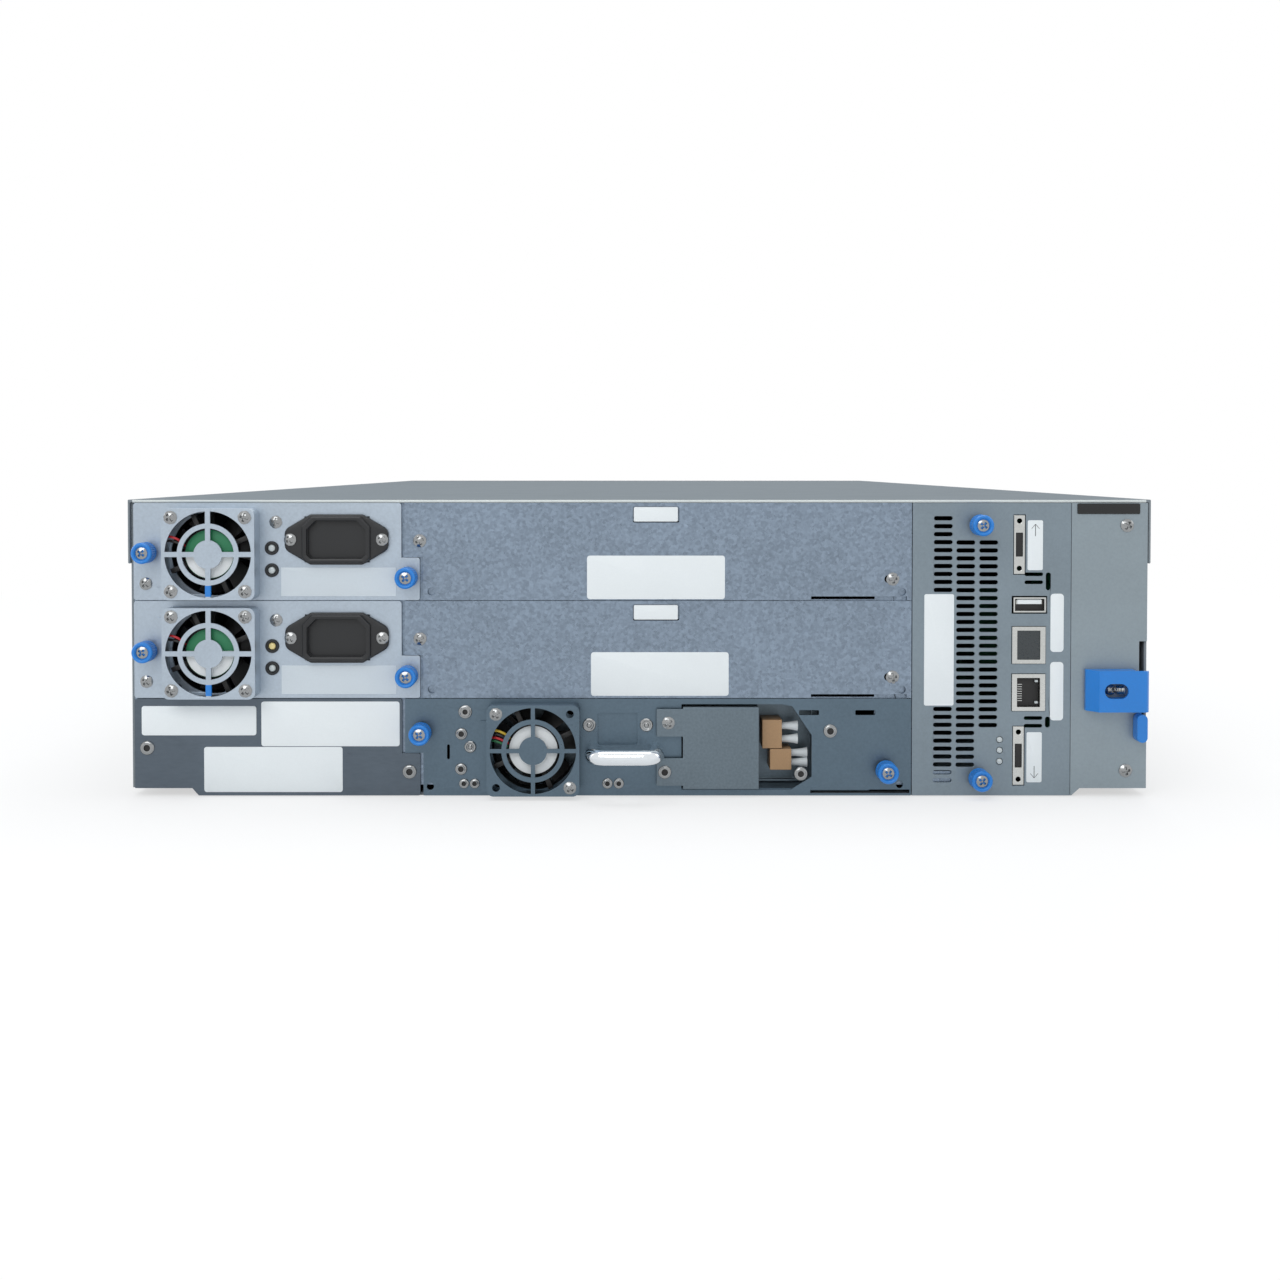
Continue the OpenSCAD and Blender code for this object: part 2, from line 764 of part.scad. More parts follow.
// Opening around the drive's rear box and its optical ports
module port_opening() {
    box2(port_u - 0.6, 2.6, port_u + 44, plate_h - 2.4);
    polygon([[port_u + 43, plate_h - 2.4], [port_u + 48, plate_h - 3.2],
             [port_u + 56.6, plate_h - 16], [port_u + 56.6, 8.2], [port_u + 47.4, 2.6],
             [port_u + 43, 2.6]]);
}

// clinch nuts and plain holes on the sled plate: u, v, outer radius, bore
sled_nuts = [[26.4, 36.9, 3, 1], [24.7, 27.2, 2.6, 1.1], [24.5, 11.7, 2.6, 1.1],
             [25.8, 5.3, 2.2, 0.9], [30.5, 5.3, 2.2, 0.9], [88.8, 5.3, 2.3, 0.9],
             [93.8, 5.3, 2.3, 0.9], [bay_w - 35.5, 28.4, 3, 1.3], [bay_w - 48.4, 9.6, 3, 1.2]];
sled_studs = [[80.8, 31.1], [105.9, 31.1]];

module sled_tray() {
    t = 1;
    u0 = foot_w + 9;
    u1 = bay_w - 18;
    color("slategray") on_bay(0) {
        upright(0, sheet) difference() {
            bay_outline();
            hole(sled_fan_u, sled_fan_v, fan_r);
            for (h = fan_holes) hole(sled_fan_u + h[0], sled_fan_v + h[1], 1.7);
            for (s = sled_knobs) hole(s[0], s[1], shank_hole);
            for (n = sled_nuts) hole(n[0], n[1], n[3]);
            port_opening();
            hole(11, 4, 1.6);
            hole(bay_w - 5, 4.7, 1.5);
            obround(18.4, 16, 19.6, 22.5);
            for (x = [bay_w - 49.2, bay_w - 24.5]) rounded(x, 35.4, x + 8.8, 37.6, 0.5);
            box2(bay_w - 44.2, 1, bay_w - 0.6, 2.6);
            rounded(84.5, 22.4, 102, 36.4, 1);
        }
        // stamped door behind the square window
        upright(sheet - eps, 0.8) box2(83, 21, 103.5, 38);
        // floor and sides
        difference() {
            block([u0, sheet - eps, sled_floor], [u1, sled_d, sled_floor + t]);
            block([sled_fan_u - fan_size / 2, 0, 0],
                  [sled_fan_u + fan_size / 2, sheet + fan_t + 0.5, 10]);
        }
        for (u = [u0, u1 - t]) block([u, sheet - eps, sled_floor], [u + t, sled_d, 26]);
    }
}

module sled_guard() {
    color("slategray") on_bay(0)
        fan_guard(sled_fan_u, sled_fan_v, 13.7, 11.6, 6.1, 1.8, [1.5, 33], 3.4);
}

module sled_fan_frame() {
    color("dimgray") on_bay(0) fan_frame(sled_fan_u, sled_fan_v, sheet);
}

module sled_fan_rotor() {
    color("black") on_bay(0) rotor(sled_fan_u, sled_fan_v, sheet);
}

// Bow handle: a bar across, two elbows and two legs to the plate
module sled_handle() {
    bend = handle_r + 2.7;
    color("lightgray") on_bay(0) translate([0, 0, handle_v]) {
        translate([handle_u[0] + bend, -handle_out + handle_r, 0]) rotate([0, 90, 0])
            cylinder(r = handle_r, h = handle_u[1] - handle_u[0] - 2 * bend);
        for (s = [0, 1]) {
            leg = handle_u[s];
            centre = s == 0 ? leg + bend : leg - bend;
            translate([leg, -handle_out + handle_r + bend, 0]) rotate([-90, 0, 0])
                cylinder(r = handle_r, h = handle_out - handle_r - bend);
            translate([centre, -handle_out + handle_r + bend, 0]) rotate([0, 0, s == 0 ? 180 : 270])
                rotate_extrude(angle = 90) translate([bend, 0]) circle(r = handle_r);
        }
    }
}

// holes in the ears of the drive's rear box
drive_ears = [[port_u - 6.4, plate_h - 10.2], [port_u - 8, 10.8]];

// The tape drive: its body, the mouth at its inner end and the box that shows at the rear
module tape_drive() {
    v0 = sled_floor + 1.3;
    v1 = plate_h - 0.9;
    mouth = [cart_w + 2, 24];
    centre = drive_u + drive_w / 2;
    color("darkgray") on_bay(0) {
        difference() {
            block([drive_u, drive_y, v0], [drive_u + drive_w, drive_y + drive_l, v1]);
            block([centre - mouth[0] / 2, drive_y + drive_l - 60, v0 + 6],
                  [centre + mouth[0] / 2, drive_y + drive_l + 1, v0 + 6 + mouth[1]]);
            // recess that holds the optical ports
            block([port_u + port_w + 0.4, drive_y - 1, v0 + 1],
                  [port_u + 58, drive_y + 3, v1 - 1]);
            // room for the fan
            block([drive_u - 1, drive_y - 1, v0 - 1],
                  [sled_fan_u + fan_size / 2 + 1, drive_y + 1.5, v1 + 1]);
        }
        // rear box through the plate, with two ears over the plate
        block([port_u, -2.6, sled_floor + 1.3], [port_u + port_w, drive_y + eps, plate_h - 3.4]);
        for (e = drive_ears) difference() {
            block([port_u - 11.6, -2.6, e[1] - 6], [port_u + eps, -1.4, e[1] + 6]);
            bar_y(e[0], e[1], -3, 0, 1.7);
        }
    }
}

// Two optical port blocks that face right
port_blocks = [[port_u + 35.2, plate_h - 22.4, 8.6, 12.6], [port_u + 38.6, 10.7, 9.4, 9.2]];
module fibre_ports() {
    color("peru") on_bay(0) for (b = port_blocks) difference() {
        block([b[0], 3, b[1]], [b[0] + b[2], drive_y + 3, b[1] + b[3]]);
        for (k = [0.27, 0.73])
            block([b[0] + 2, 5, b[1] + b[3] * k - 1.6], [b[0] + b[2] + 1, 12, b[1] + b[3] * k + 1.6]);
    }
}

// Soft plugs that close the optical ports
module dust_plugs() {
    color("whitesmoke") on_bay(0) for (b = port_blocks, k = [0.27, 0.73]) {
        u = b[0] + b[2];
        v = b[1] + b[3] * k;
        block([u - 4, 5.5, v - 1.3], [u + 3, 11.5, v + 1.3]);
        block([u + 3 - eps, 4.6, v - 2], [u + 7.6, 12.4, v + 2]);
    }
}

module sled_fasteners() {
    color("silver") on_bay(0) {
        for (n = sled_nuts) clinch_nut(n[0], n[1], 0, n[2], n[3]);
        for (s = sled_studs) bar_y(s[0], s[1], -1.4, 0, 2.9);
        bar_y(28.6, 21.5, -1.4, 0, 2.6);
        for (h = [[-1, 1], [1, -1]])
            screw(sled_fan_u + h[0] * fan_pitch, sled_fan_v + h[1] * fan_pitch, -guard_out, 2.7,
                  guard_out + 8);
        screw(drive_ears[0][0], drive_ears[0][1], -2.6, 2.7, 2.4);
        clinch_nut(drive_ears[1][0], drive_ears[1][1], -2.6, 2.9, 1.4);
    }
}

module sled_knob_left() {
    color("dodgerblue") on_bay(0) thumbscrew(sled_knobs[0][0], sled_knobs[0][1]);
}

module sled_knob_right() {
    color("dodgerblue") on_bay(0) thumbscrew(sled_knobs[1][0], sled_knobs[1][1]);
}

// ---- controller ----

module controller_tray() {
    t = 1;
    top = body_h - sheet - 0.2;
    u0 = 1.6;
    u1 = ctrl_w - 1.6;
    color("darkgray") on_ctrl() {
        upright(0, sheet) difference() {
            box2(0, 0.2, ctrl_w, top);
            for (c = [0:2]) {
                column_top = vent_top - vent_cols[c][1];
                n = floor((column_top - vent_foot[c]) / vent_pitch);
                for (i = [0:n])
                    obround(vent_cols[c][0], column_top - i * vent_pitch - vent_slot[1],
                            vent_cols[c][0] + vent_slot[0], column_top - i * vent_pitch);
            }
            for (s = ctrl_knobs) hole(s[0], s[1], shank_hole);
            box2(usb[0] - 7.8, mid + usb[1] - 3.9, usb[0] + 7.8, mid + usb[1] + 3.9);
            for (v = jacks_v)
                box2(jacks_u - jack_size[0] / 2 - 0.2, mid + v - jack_size[1] / 2 - 0.2,
                     jacks_u + jack_size[0] / 2 + 0.2, mid + v + jack_size[1] / 2 + 0.2);
            for (p = module_ports)
                box2(p[0] - 2.7, mid + p[1] - 13.2, p[0] + 2.7, mid + p[1] + 13.2);
            for (p = ctrl_leds) hole(p[0], mid + p[1], 1.5);
            for (p = ctrl_slots) obround(p[0], mid + p[1], p[0] + 8.1, mid + p[1] + 1.6);
            for (p = ctrl_slits) obround(p[0], mid + p[1], p[0] + 2.2, mid + p[1] + p[2]);
        }
        // back, top and bottom of the tray
        block([u1 - t, sheet - eps, ctrl_floor], [u1, ctrl_d, top - 2.4]);
        difference() {
            block([u0, sheet - eps, ctrl_floor], [u1, ctrl_d, ctrl_floor + t]);
            block([module_ports[1][0] - 2.7, 0, ctrl_floor - 1],
                  [module_ports[1][0] + 2.7, 4.5, ctrl_floor + t + 1]);
        }
        block([ctrl_knobs[0][0] + 9, sheet - eps, top - 2.4 - t], [u1, ctrl_d, top - 2.4]);
    }
}

// Upright board that carries the ports
board_u = 61.4;
module controller_board() {
    color("darkgreen") on_ctrl() {
        block([board_u, 3, ctrl_floor + 1.3], [board_u + 1.6, ctrl_d - 2, body_h - sheet - 4.4]);
        // large parts on the board
        block([board_u - 14, 90, mid - 20], [board_u + eps, 130, mid + 20]);
        block([board_u - 9, 150, mid - 45], [board_u + eps, 170, mid - 10]);
    }
}

module controller_ports() {
    color("silver") on_ctrl() {
        // vertical connector blocks of the two module ports
        for (p = module_ports) difference() {
            union() {
                block([p[0] - 2.4, 0.2, mid + p[1] - 12.9], [p[0] + 2.4, 4, mid + p[1] + 12.9]);
                block([p[0] - 2.4, 4 - eps, mid + p[1] - 4.5], [board_u, 9, mid + p[1] + 9]);
            }
            block([p[0] - 1.5, -1, mid + p[1] - 5.2], [p[0] + 1.5, 7, mid + p[1] + 5.2]);
            for (s = [-1, 1]) bar_y(p[0], mid + p[1] + s * 10.4, -1, 6, 1.1);
        }
        // service socket with its tongue
        difference() {
            union() {
                block([usb[0] - 7.1, -0.4, mid + usb[1] - 3.3],
                      [usb[0] + 7.1, 13, mid + usb[1] + 3.3]);
                block([usb[0], frame_y, mid + usb[1] - 3.3], [board_u, 13, mid + usb[1] + 3.3]);
            }
            block([usb[0] - 6.4, -1, mid + usb[1] - 2.6], [usb[0] + 6.4, 11, mid + usb[1] + 2.6]);
        }
        block([usb[0] - 5.8, 1, mid + usb[1] + 0.2], [usb[0] + 5.8, 11 + eps, mid + usb[1] + 2]);
        // network jacks
        for (v = jacks_v) difference() {
            union() {
                block([jacks_u - jack_size[0] / 2, -0.4, mid + v - jack_size[1] / 2],
                      [jacks_u + jack_size[0] / 2, 16, mid + v + jack_size[1] / 2]);
                block([jacks_u, frame_y, mid + v - jack_size[1] / 2],
                      [board_u, 16, mid + v + jack_size[1] / 2]);
            }
            block([jacks_u - jack_hole[0] / 2, -1, mid + v - jack_hole[1] / 2],
                  [jacks_u + jack_hole[0] / 2, 13, mid + v + jack_hole[1] / 2]);
        }
        // blank plug in the upper jack
        block([jacks_u - jack_hole[0] / 2 + 0.1, 0.4, mid + jacks_v[0] - jack_hole[1] / 2 + 0.1],
              [jacks_u + jack_hole[0] / 2 - 0.1, 9, mid + jacks_v[0] + jack_hole[1] / 2 - 0.1]);
    }
}

module controller_knob_top() {
    color("dodgerblue") on_ctrl() thumbscrew(ctrl_knobs[0][0], ctrl_knobs[0][1]);
}

module controller_knob_bottom() {
    color("dodgerblue") on_ctrl() thumbscrew(ctrl_knobs[1][0], ctrl_knobs[1][1]);
}

// ---- front ----

button_z = mid - 34;
buttons = [-33, -11, 11, 33];
button_r = 5.5;
power_at = [78, mid - 34];
power_r = 7;
window_size = [92, 46];

module front_bezel() {
    skin = 3;
    color("dimgray") at_rear() difference() {
        block([-body_w / 2 - 1, body_d, 0], [body_w / 2 + 1, front_y, body_h]);
        for (s = [-1, 1]) {
            // magazine openings
            block([s > 0 ? opening_in : -opening_out, body_d - 1, rail_up + sheet - 0.4],
                  [s > 0 ? opening_out : -opening_in, front_y + 1, body_h - sheet - 1.4]);
        }
        // hollow behind the middle of the panel
        block([-opening_in + skin, body_d - 1, skin], [opening_in - skin, front_y - skin, body_h - skin]);
        // display opening with its step, and the button holes
        block([-window_size[0] / 2, front_y - 1.2, mid - 12],
              [window_size[0] / 2, front_y + 1, mid - 12 + window_size[1]]);
        block([-window_size[0] / 2 + 4, body_d, mid - 8],
              [window_size[0] / 2 - 4, front_y + 1, mid - 16 + window_size[1]]);
        for (x = buttons) bar_y(x, button_z, body_d, front_y + 1, button_r + gap);
        bar_y(power_at[0], power_at[1], body_d, front_y + 1, power_r + gap);
    }
}

module display_window() {
    color("black") at_rear()
        block([-window_size[0] / 2, front_y - 1.2, mid - 12],
              [window_size[0] / 2, front_y, mid - 12 + window_size[1]]);
}

// A push button: its cap through the panel and a wider flange behind it
module push_button(x, z, r) {
    color("lightgray") at_rear() {
        bar_y(x, z, front_y - 5, front_y + button_out, r);
        bar_y(x, z, front_y - 7, front_y - 5 + eps, r + 1.2);
    }
}

module button_previous() {
    push_button(buttons[3], button_z, button_r);
}

module button_next() {
    push_button(buttons[2], button_z, button_r);
}

module button_enter() {
    push_button(buttons[1], button_z, button_r);
}

module button_back() {
    push_button(buttons[0], button_z, button_r);
}

module power_button() {
    push_button(power_at[0], power_at[1], power_r);
}

// Rack ears: an upright leaf with slotted holes, and a leaf along the side wall
module rack_ears() {
    ear_t = 2;
    slot = [10.3, 6.8];
    rack_w = body_w + 2 * ear_reach;
    rack_pitch = rack_w - 17.5;
    foot = 46;
    z0 = 3;
    z1 = body_h - 29;
    color("gray") at_rear() for (s = [-1, 1]) mirror([s < 0 ? 1 : 0, 0, 0]) {
        upright(body_d - ear_t, ear_t) difference() {
            box2(body_w / 2 + 0.1, z0, rack_w / 2, z1 + 1);
            for (z = [mid - 14.5 - rack_rise / 2, mid - 14.5 + rack_rise / 2]) {
                box2(rack_pitch / 2 - slot[0] / 2 + slot[1] / 2, z - slot[1] / 2,
                     rack_pitch / 2 + slot[0] / 2 - slot[1] / 2, z + slot[1] / 2);
                for (e = [-1, 1]) hole(rack_pitch / 2 + e * (slot[0] - slot[1]) / 2, z, slot[1] / 2);
            }
        }
        block([body_w / 2 + 0.1, body_d - foot, z0],
              [body_w / 2 + 0.1 + ear_t, body_d - ear_t + eps, z1 + 1]);
    }
}

// ---- magazines ----

// Side outline of a magazine from column a to column b: floor, dividers and cartridge ledges
module rack_outline(a, b, z, height, rise) {
    y0 = mag_rear + a * cell_pitch;
    y1 = mag_rear + b * cell_pitch + divider;
    box2(y0, z, y1, z + wall);
    for (c = [a:b]) {
        y = mag_rear + c * cell_pitch;
        box2(y, z, y + divider, z + height);
        for (r = [1:mag_rows - 1]) {
            low = z + wall + r * rise - shelf;
            box2(c > a ? y - ledge : y, low, c < b ? y + divider + ledge : y + divider, low + shelf);
        }
    }
}

mag_h = wall + mag_rows * cell_rise;

module left_magazine() {
    cols = mag_cols - 1;
    color("lightgray") at_rear() {
        across(-mag_x + wall - eps, mag_w - wall + eps) rack_outline(0, cols, mag_z, mag_h, cell_rise);
        block([-mag_x, mag_rear, mag_z], [-mag_x + wall, mag_front - 1, mag_z + mag_h]);
        // floor under the mail station
        block([-mag_x, mag_rear + cols * cell_pitch, mag_z],
              [-mag_x + mag_w, mag_front - 1, mag_z + wall]);
    }
}

// Front face of a magazine, with a finger recess
module fascia(x0) {
    y0 = mag_front + 3;
    difference() {
        block([x0, mag_front - 1 + gap, mag_z],
              [x0 + mag_w + 2 * 0.9, front_y - 0.5, body_h - sheet - 2.6]);
        block([x0 + 24, front_y - 12, 22], [x0 + mag_w - 24, front_y + 1, 44]);
        block([x0 + 3, mag_front - 2, mag_z + 3], [x0 + mag_w - 2, y0 + 8, body_h - sheet - 6]);
    }
}

module right_magazine() {
    color("lightgray") at_rear() {
        across(mag_x - mag_w, mag_w - wall + eps) rack_outline(0, mag_cols, mag_z, mag_h, cell_rise);
        block([mag_x - wall, mag_rear, mag_z], [mag_x, mag_front, mag_z + mag_h]);
        fascia(mag_x - mag_w - 0.9);
    }
}

// The front column of the left magazine slides out alone
module mail_station() {
    z = mag_z + wall + gap;
    rise = cart_t + 0.35 + shelf;
    x0 = -mag_x + wall + gap;
    y0 = mag_rear + (mag_cols - 1) * cell_pitch + divider + gap;
    h = wall + mag_rows * rise;
    color("lightgray") at_rear() {
        intersection() {
            across(x0, mag_w - wall - gap) rack_outline(mag_cols - 1, mag_cols, z, h, rise);
            block([-body_w, y0, 0], [0, body_d, body_h]);
        }
        block([x0, y0, z], [x0 + wall, mag_front, z + h]);
        block([x0, y0, z], [x0 + mag_w - wall - gap, y0 + divider, z + h]);
        fascia(-mag_x - 0.9);
    }
}

// ---- robot ----

module robot_rails() {
    color("silver") at_rear() for (s = [-1, 1])
        block([s > 0 ? rail_in_x : -rail_in_x - rail_w, sled_d + 12, sheet],
              [s > 0 ? rail_in_x + rail_w : -rail_in_x, body_d - 4, rail_top]);
}

lift_z = rail_top + gap + 3.5 + gap;
turn_z = lift_z + 3.5 + gap;

module robot_carriage() {
    z = rail_top + gap;
    half = rail_in_x + rail_w;
    color("darkgray") at_rear() {
        block([-half, robot_y - swing - 8, z], [half, mast_y + 12, z + 3.5]);
        // guides beside the rails
        for (s = [-1, 1])
            block([s > 0 ? rail_in_x - 3 - gap : -rail_in_x + gap, robot_y - swing - 8, 4],
                  [s > 0 ? rail_in_x - gap : -rail_in_x + 3 + gap, mast_y + 12, z + eps]);
        // mast
        block([-40, mast_y, z + 3.5 - eps], [40, mast_y + 6, body_h - sheet - 5]);
    }
}

module robot_lift() {
    color("silver") at_rear() {
        block([-45, robot_y - 30, lift_z], [45, mast_y - gap, lift_z + 3.5]);
        // shoe that slides on the mast
        block([-30, mast_y - 4, lift_z], [30, mast_y - gap, lift_z + 22]);
        // turning pin
        translate([0, robot_y, lift_z + 3.5 - eps]) cylinder(r = 4, h = 2.2);
    }
}

module robot_gripper() {
    color("lightgray") at_rear() translate([0, robot_y, turn_z]) difference() {
        block([-grip_w / 2, -grip_l / 2, 0], [grip_w / 2, grip_l / 2, grip_h]);
        block([-grip_w / 2 + 1.3, -grip_l / 2 - 1, 2.4], [grip_w / 2 - 1.3, grip_l / 2 - 1.5, grip_h + 1]);
        translate([0, 0, -1]) cylinder(r = 4 + gap, h = 5);
    }
}

module robot_picker() {
    color("dimgray") at_rear() translate([0, robot_y, turn_z + 2.4 + gap]) {
        block([-12, -grip_l / 2 + 1, 0], [12, 36, 3]);
        for (s = [-1, 1])
            block([s > 0 ? 8 : -12, -grip_l / 2 + 1, 3 - eps], [s > 0 ? 12 : -8, -grip_l / 2 + 9, 10]);
    }
}

// ---- the pieces ----
base_tray();
top_cover();
rear_frame();
product_plate();
latch_plate();
bay_cover_1();
bay_cover_2();
plate_fasteners();
latch_spring();
lock_block();
alignment_lever();
front_bezel();
display_window();
button_previous();
button_next();
button_enter();
button_back();
power_button();
rack_ears();
robot_rails();
power_backplane();
psu_1_case();
psu_1_guard();
psu_1_fan_frame();
psu_1_fan_rotor();
psu_1_inlet();
psu_1_screws();
psu_1_knob_left();
psu_1_knob_right();
psu_2_case();
psu_2_guard();
psu_2_fan_frame();
psu_2_fan_rotor();
psu_2_inlet();
psu_2_screws();
psu_2_knob_left();
psu_2_knob_right();
sled_tray();
sled_guard();
sled_fan_frame();
sled_fan_rotor();
sled_handle();
tape_drive();
fibre_ports();
dust_plugs();
sled_fasteners();
sled_knob_left();
sled_knob_right();
controller_tray();
controller_board();
controller_ports();
controller_knob_top();
controller_knob_bottom();
left_magazine();
right_magazine();
mail_station();
robot_carriage();
robot_lift();
robot_gripper();
robot_picker();
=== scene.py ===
import math

import bmesh
import bpy
import numpy as np
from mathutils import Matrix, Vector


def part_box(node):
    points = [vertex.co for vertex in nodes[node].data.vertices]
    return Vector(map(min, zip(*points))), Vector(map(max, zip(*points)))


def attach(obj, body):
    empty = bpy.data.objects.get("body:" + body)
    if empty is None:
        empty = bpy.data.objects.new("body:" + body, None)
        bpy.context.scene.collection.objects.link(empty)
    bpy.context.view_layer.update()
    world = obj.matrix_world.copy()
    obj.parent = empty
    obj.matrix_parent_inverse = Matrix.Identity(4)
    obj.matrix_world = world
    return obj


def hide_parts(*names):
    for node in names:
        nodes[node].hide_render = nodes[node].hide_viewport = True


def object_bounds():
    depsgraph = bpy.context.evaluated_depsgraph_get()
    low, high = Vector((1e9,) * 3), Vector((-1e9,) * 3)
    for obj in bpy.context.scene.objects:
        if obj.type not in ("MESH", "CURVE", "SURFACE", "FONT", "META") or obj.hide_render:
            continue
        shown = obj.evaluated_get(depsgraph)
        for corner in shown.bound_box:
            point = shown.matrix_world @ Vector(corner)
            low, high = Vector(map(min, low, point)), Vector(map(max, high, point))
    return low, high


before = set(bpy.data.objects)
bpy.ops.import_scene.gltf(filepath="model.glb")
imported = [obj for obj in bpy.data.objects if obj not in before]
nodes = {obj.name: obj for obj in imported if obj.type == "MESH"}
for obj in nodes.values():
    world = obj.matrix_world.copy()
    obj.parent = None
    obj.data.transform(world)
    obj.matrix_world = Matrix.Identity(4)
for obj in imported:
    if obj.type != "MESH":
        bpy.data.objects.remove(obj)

cadLow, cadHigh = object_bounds()
mm = 0.001
scene = bpy.context.scene
print("tape library: frame loaded,", len(nodes), "parts")


# sRGB 0-255 to the linear colour that the shaders want
def tone(r, g, b):
    c = np.array([r, g, b]) / 255.0
    lin = np.where(c <= 0.04045, c / 12.92, ((c + 0.055) / 1.055) ** 2.4)
    return (float(lin[0]), float(lin[1]), float(lin[2]), 1.0)


# the rear face's plane, which distances out of a panel are measured from
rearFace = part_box("product_plate")[0].y

# camera behind the library and a little above its top
cameraSet = {"back": 668, "side": -2.5, "height": 145, "lens": 42.95, "pitch": 1.3,
             "shiftX": 0.005, "shiftY": -0.109}


def setCamera(s):
    data = bpy.data.cameras.new("libraryCamera")
    data.lens = s["lens"]
    data.sensor_width = 36
    data.shift_x = s["shiftX"]
    data.shift_y = s["shiftY"]
    data.clip_start = 0.01
    data.clip_end = 50
    cam = bpy.data.objects.new("libraryCamera", data)
    scene.collection.objects.link(cam)
    cam.location = (s["side"] * mm, rearFace - s["back"] * mm, s["height"] * mm)
    cam.rotation_euler = (math.radians(90 - s["pitch"]), 0, 0)
    scene.camera = cam


def mathNode(tree, kind, a, b):
    n = tree.nodes.new("ShaderNodeMath")
    n.operation = kind
    tree.links.new(a, n.inputs[0])
    tree.links.new(b, n.inputs[1])
    return n.outputs[0]


# white sky for the lens, for gloss and for glass, a softer one for the light it gives
def setWorld(level):
    world = bpy.data.worlds.new("studioWorld")
    scene.world = world
    world.use_nodes = True
    tree = world.node_tree
    tree.nodes.clear()
    out = tree.nodes.new("ShaderNodeOutputWorld")
    mix = tree.nodes.new("ShaderNodeMixShader")
    fill = tree.nodes.new("ShaderNodeBackground")
    fill.inputs["Color"].default_value = (0.93, 0.97, 1.0, 1.0)
    fill.inputs["Strength"].default_value = level
    white = tree.nodes.new("ShaderNodeBackground")
    white.inputs["Color"].default_value = (1.0, 1.0, 1.0, 1.0)
    white.inputs["Strength"].default_value = 1.0
    tree.links.new(seenRays(tree), mix.inputs[0])
    tree.links.new(fill.outputs[0], mix.inputs[1])
    tree.links.new(white.outputs[0], mix.inputs[2])
    tree.links.new(mix.outputs[0], out.inputs["Surface"])


# 1 on camera, glossy and transmission rays
def seenRays(tree):
    path = tree.nodes.new("ShaderNodeLightPath")
    seen = mathNode(tree, "MAXIMUM", path.outputs["Is Camera Ray"], path.outputs["Is Glossy Ray"])
    return mathNode(tree, "MAXIMUM", seen, path.outputs["Is Transmission Ray"])


# white floor that takes the library's shadow and fades into the sky between two distances from the middle
floorFade = {"from": 0.55, "to": 0.95}


def setFloor(size, glow):
    a = size / 2
    mesh = bpy.data.meshes.new("studioFloor")
    mesh.from_pydata([(-a, -a, 0), (a, -a, 0), (a, a, 0), (-a, a, 0)], [], [(0, 1, 2, 3)])
    floor = bpy.data.objects.new("studioFloor", mesh)
    floor.location = (0, 0, cadLow.z - 0.0002)
    scene.collection.objects.link(floor)
    mat = bpy.data.materials.new("studioWhite")
    mat.use_nodes = True
    tree = mat.node_tree
    tree.nodes.clear()
    out = tree.nodes.new("ShaderNodeOutputMaterial")
    card = tree.nodes.new("ShaderNodeBsdfDiffuse")
    card.inputs["Color"].default_value = (0.9, 0.9, 0.9, 1.0)
    light = tree.nodes.new("ShaderNodeEmission")
    light.inputs["Strength"].default_value = 1.0
    mix = tree.nodes.new("ShaderNodeMixShader")
    coords = tree.nodes.new("ShaderNodeTexCoord")
    away = tree.nodes.new("ShaderNodeVectorMath")
    away.operation = "LENGTH"
    fade = tree.nodes.new("ShaderNodeMapRange")
    fade.inputs["From Min"].default_value = floorFade["from"]
    fade.inputs["From Max"].default_value = floorFade["to"]
    fade.inputs["To Min"].default_value = glow
    tree.links.new(coords.outputs["Object"], away.inputs[0])
    tree.links.new(away.outputs["Value"], fade.inputs["Value"])
    tree.links.new(mathNode(tree, "MULTIPLY", seenRays(tree), fade.outputs[0]), mix.inputs[0])
    tree.links.new(card.outputs[0], mix.inputs[1])
    tree.links.new(light.outputs[0], mix.inputs[2])
    tree.links.new(mix.outputs[0], out.inputs["Surface"])
    mesh.materials.append(mat)


def softLamp(name, place, aim, size, watts):
    data = bpy.data.lights.new(name, "AREA")
    data.shape = "RECTANGLE"
    data.size = size[0]
    data.size_y = size[1]
    data.energy = watts
    lamp = bpy.data.objects.new(name, data)
    scene.collection.objects.link(lamp)
    lamp.location = place
    away = np.array(aim) - np.array(place)
    lamp.rotation_euler = (math.acos(-away[2] / np.linalg.norm(away)), 0,
                           math.atan2(away[1], away[0]) - math.pi / 2)


lightSet = {"world": 0.55, "floorGlow": 0.6, "topWatts": 14, "backWatts": 9, "frontWatts": 9, "sideWatts": 5}


def setStudio(s):
    setWorld(s["world"])
    setFloor(30, s["floorGlow"])
    softLamp("overheadSoftbox", (0, 0, 1.7), (0, 0, 0), (1.6, 1.6), s["topWatts"])
    softLamp("backSoftbox", (-0.5, -1.7, 1.1), (0, -0.4, 0.05), (1.2, 0.8), s["backWatts"])
    softLamp("frontSoftbox", (0.6, 1.8, 1.1), (0, 0.4, 0.05), (1.2, 0.8), s["frontWatts"])
    softLamp("leftSoftbox", (-1.7, 0, 0.8), (0, 0, 0.05), (1.2, 0.8), s["sideWatts"])
    softLamp("rightSoftbox", (1.7, 0, 0.8), (0, 0, 0.05), (1.2, 0.8), s["sideWatts"])


setCamera(cameraSet)
setStudio(lightSet)
scene.view_settings.view_transform = "Standard"
print("tape library: camera and light set")


# every finish starts from its shader and the object's own coordinates
def startMaterial(name):
    mat = bpy.data.materials.new(name)
    mat.use_nodes = True
    tree = mat.node_tree
    shader = tree.nodes["Principled BSDF"]
    coords = tree.nodes.new("ShaderNodeTexCoord")
    return mat, tree, shader, coords.outputs["Object"]


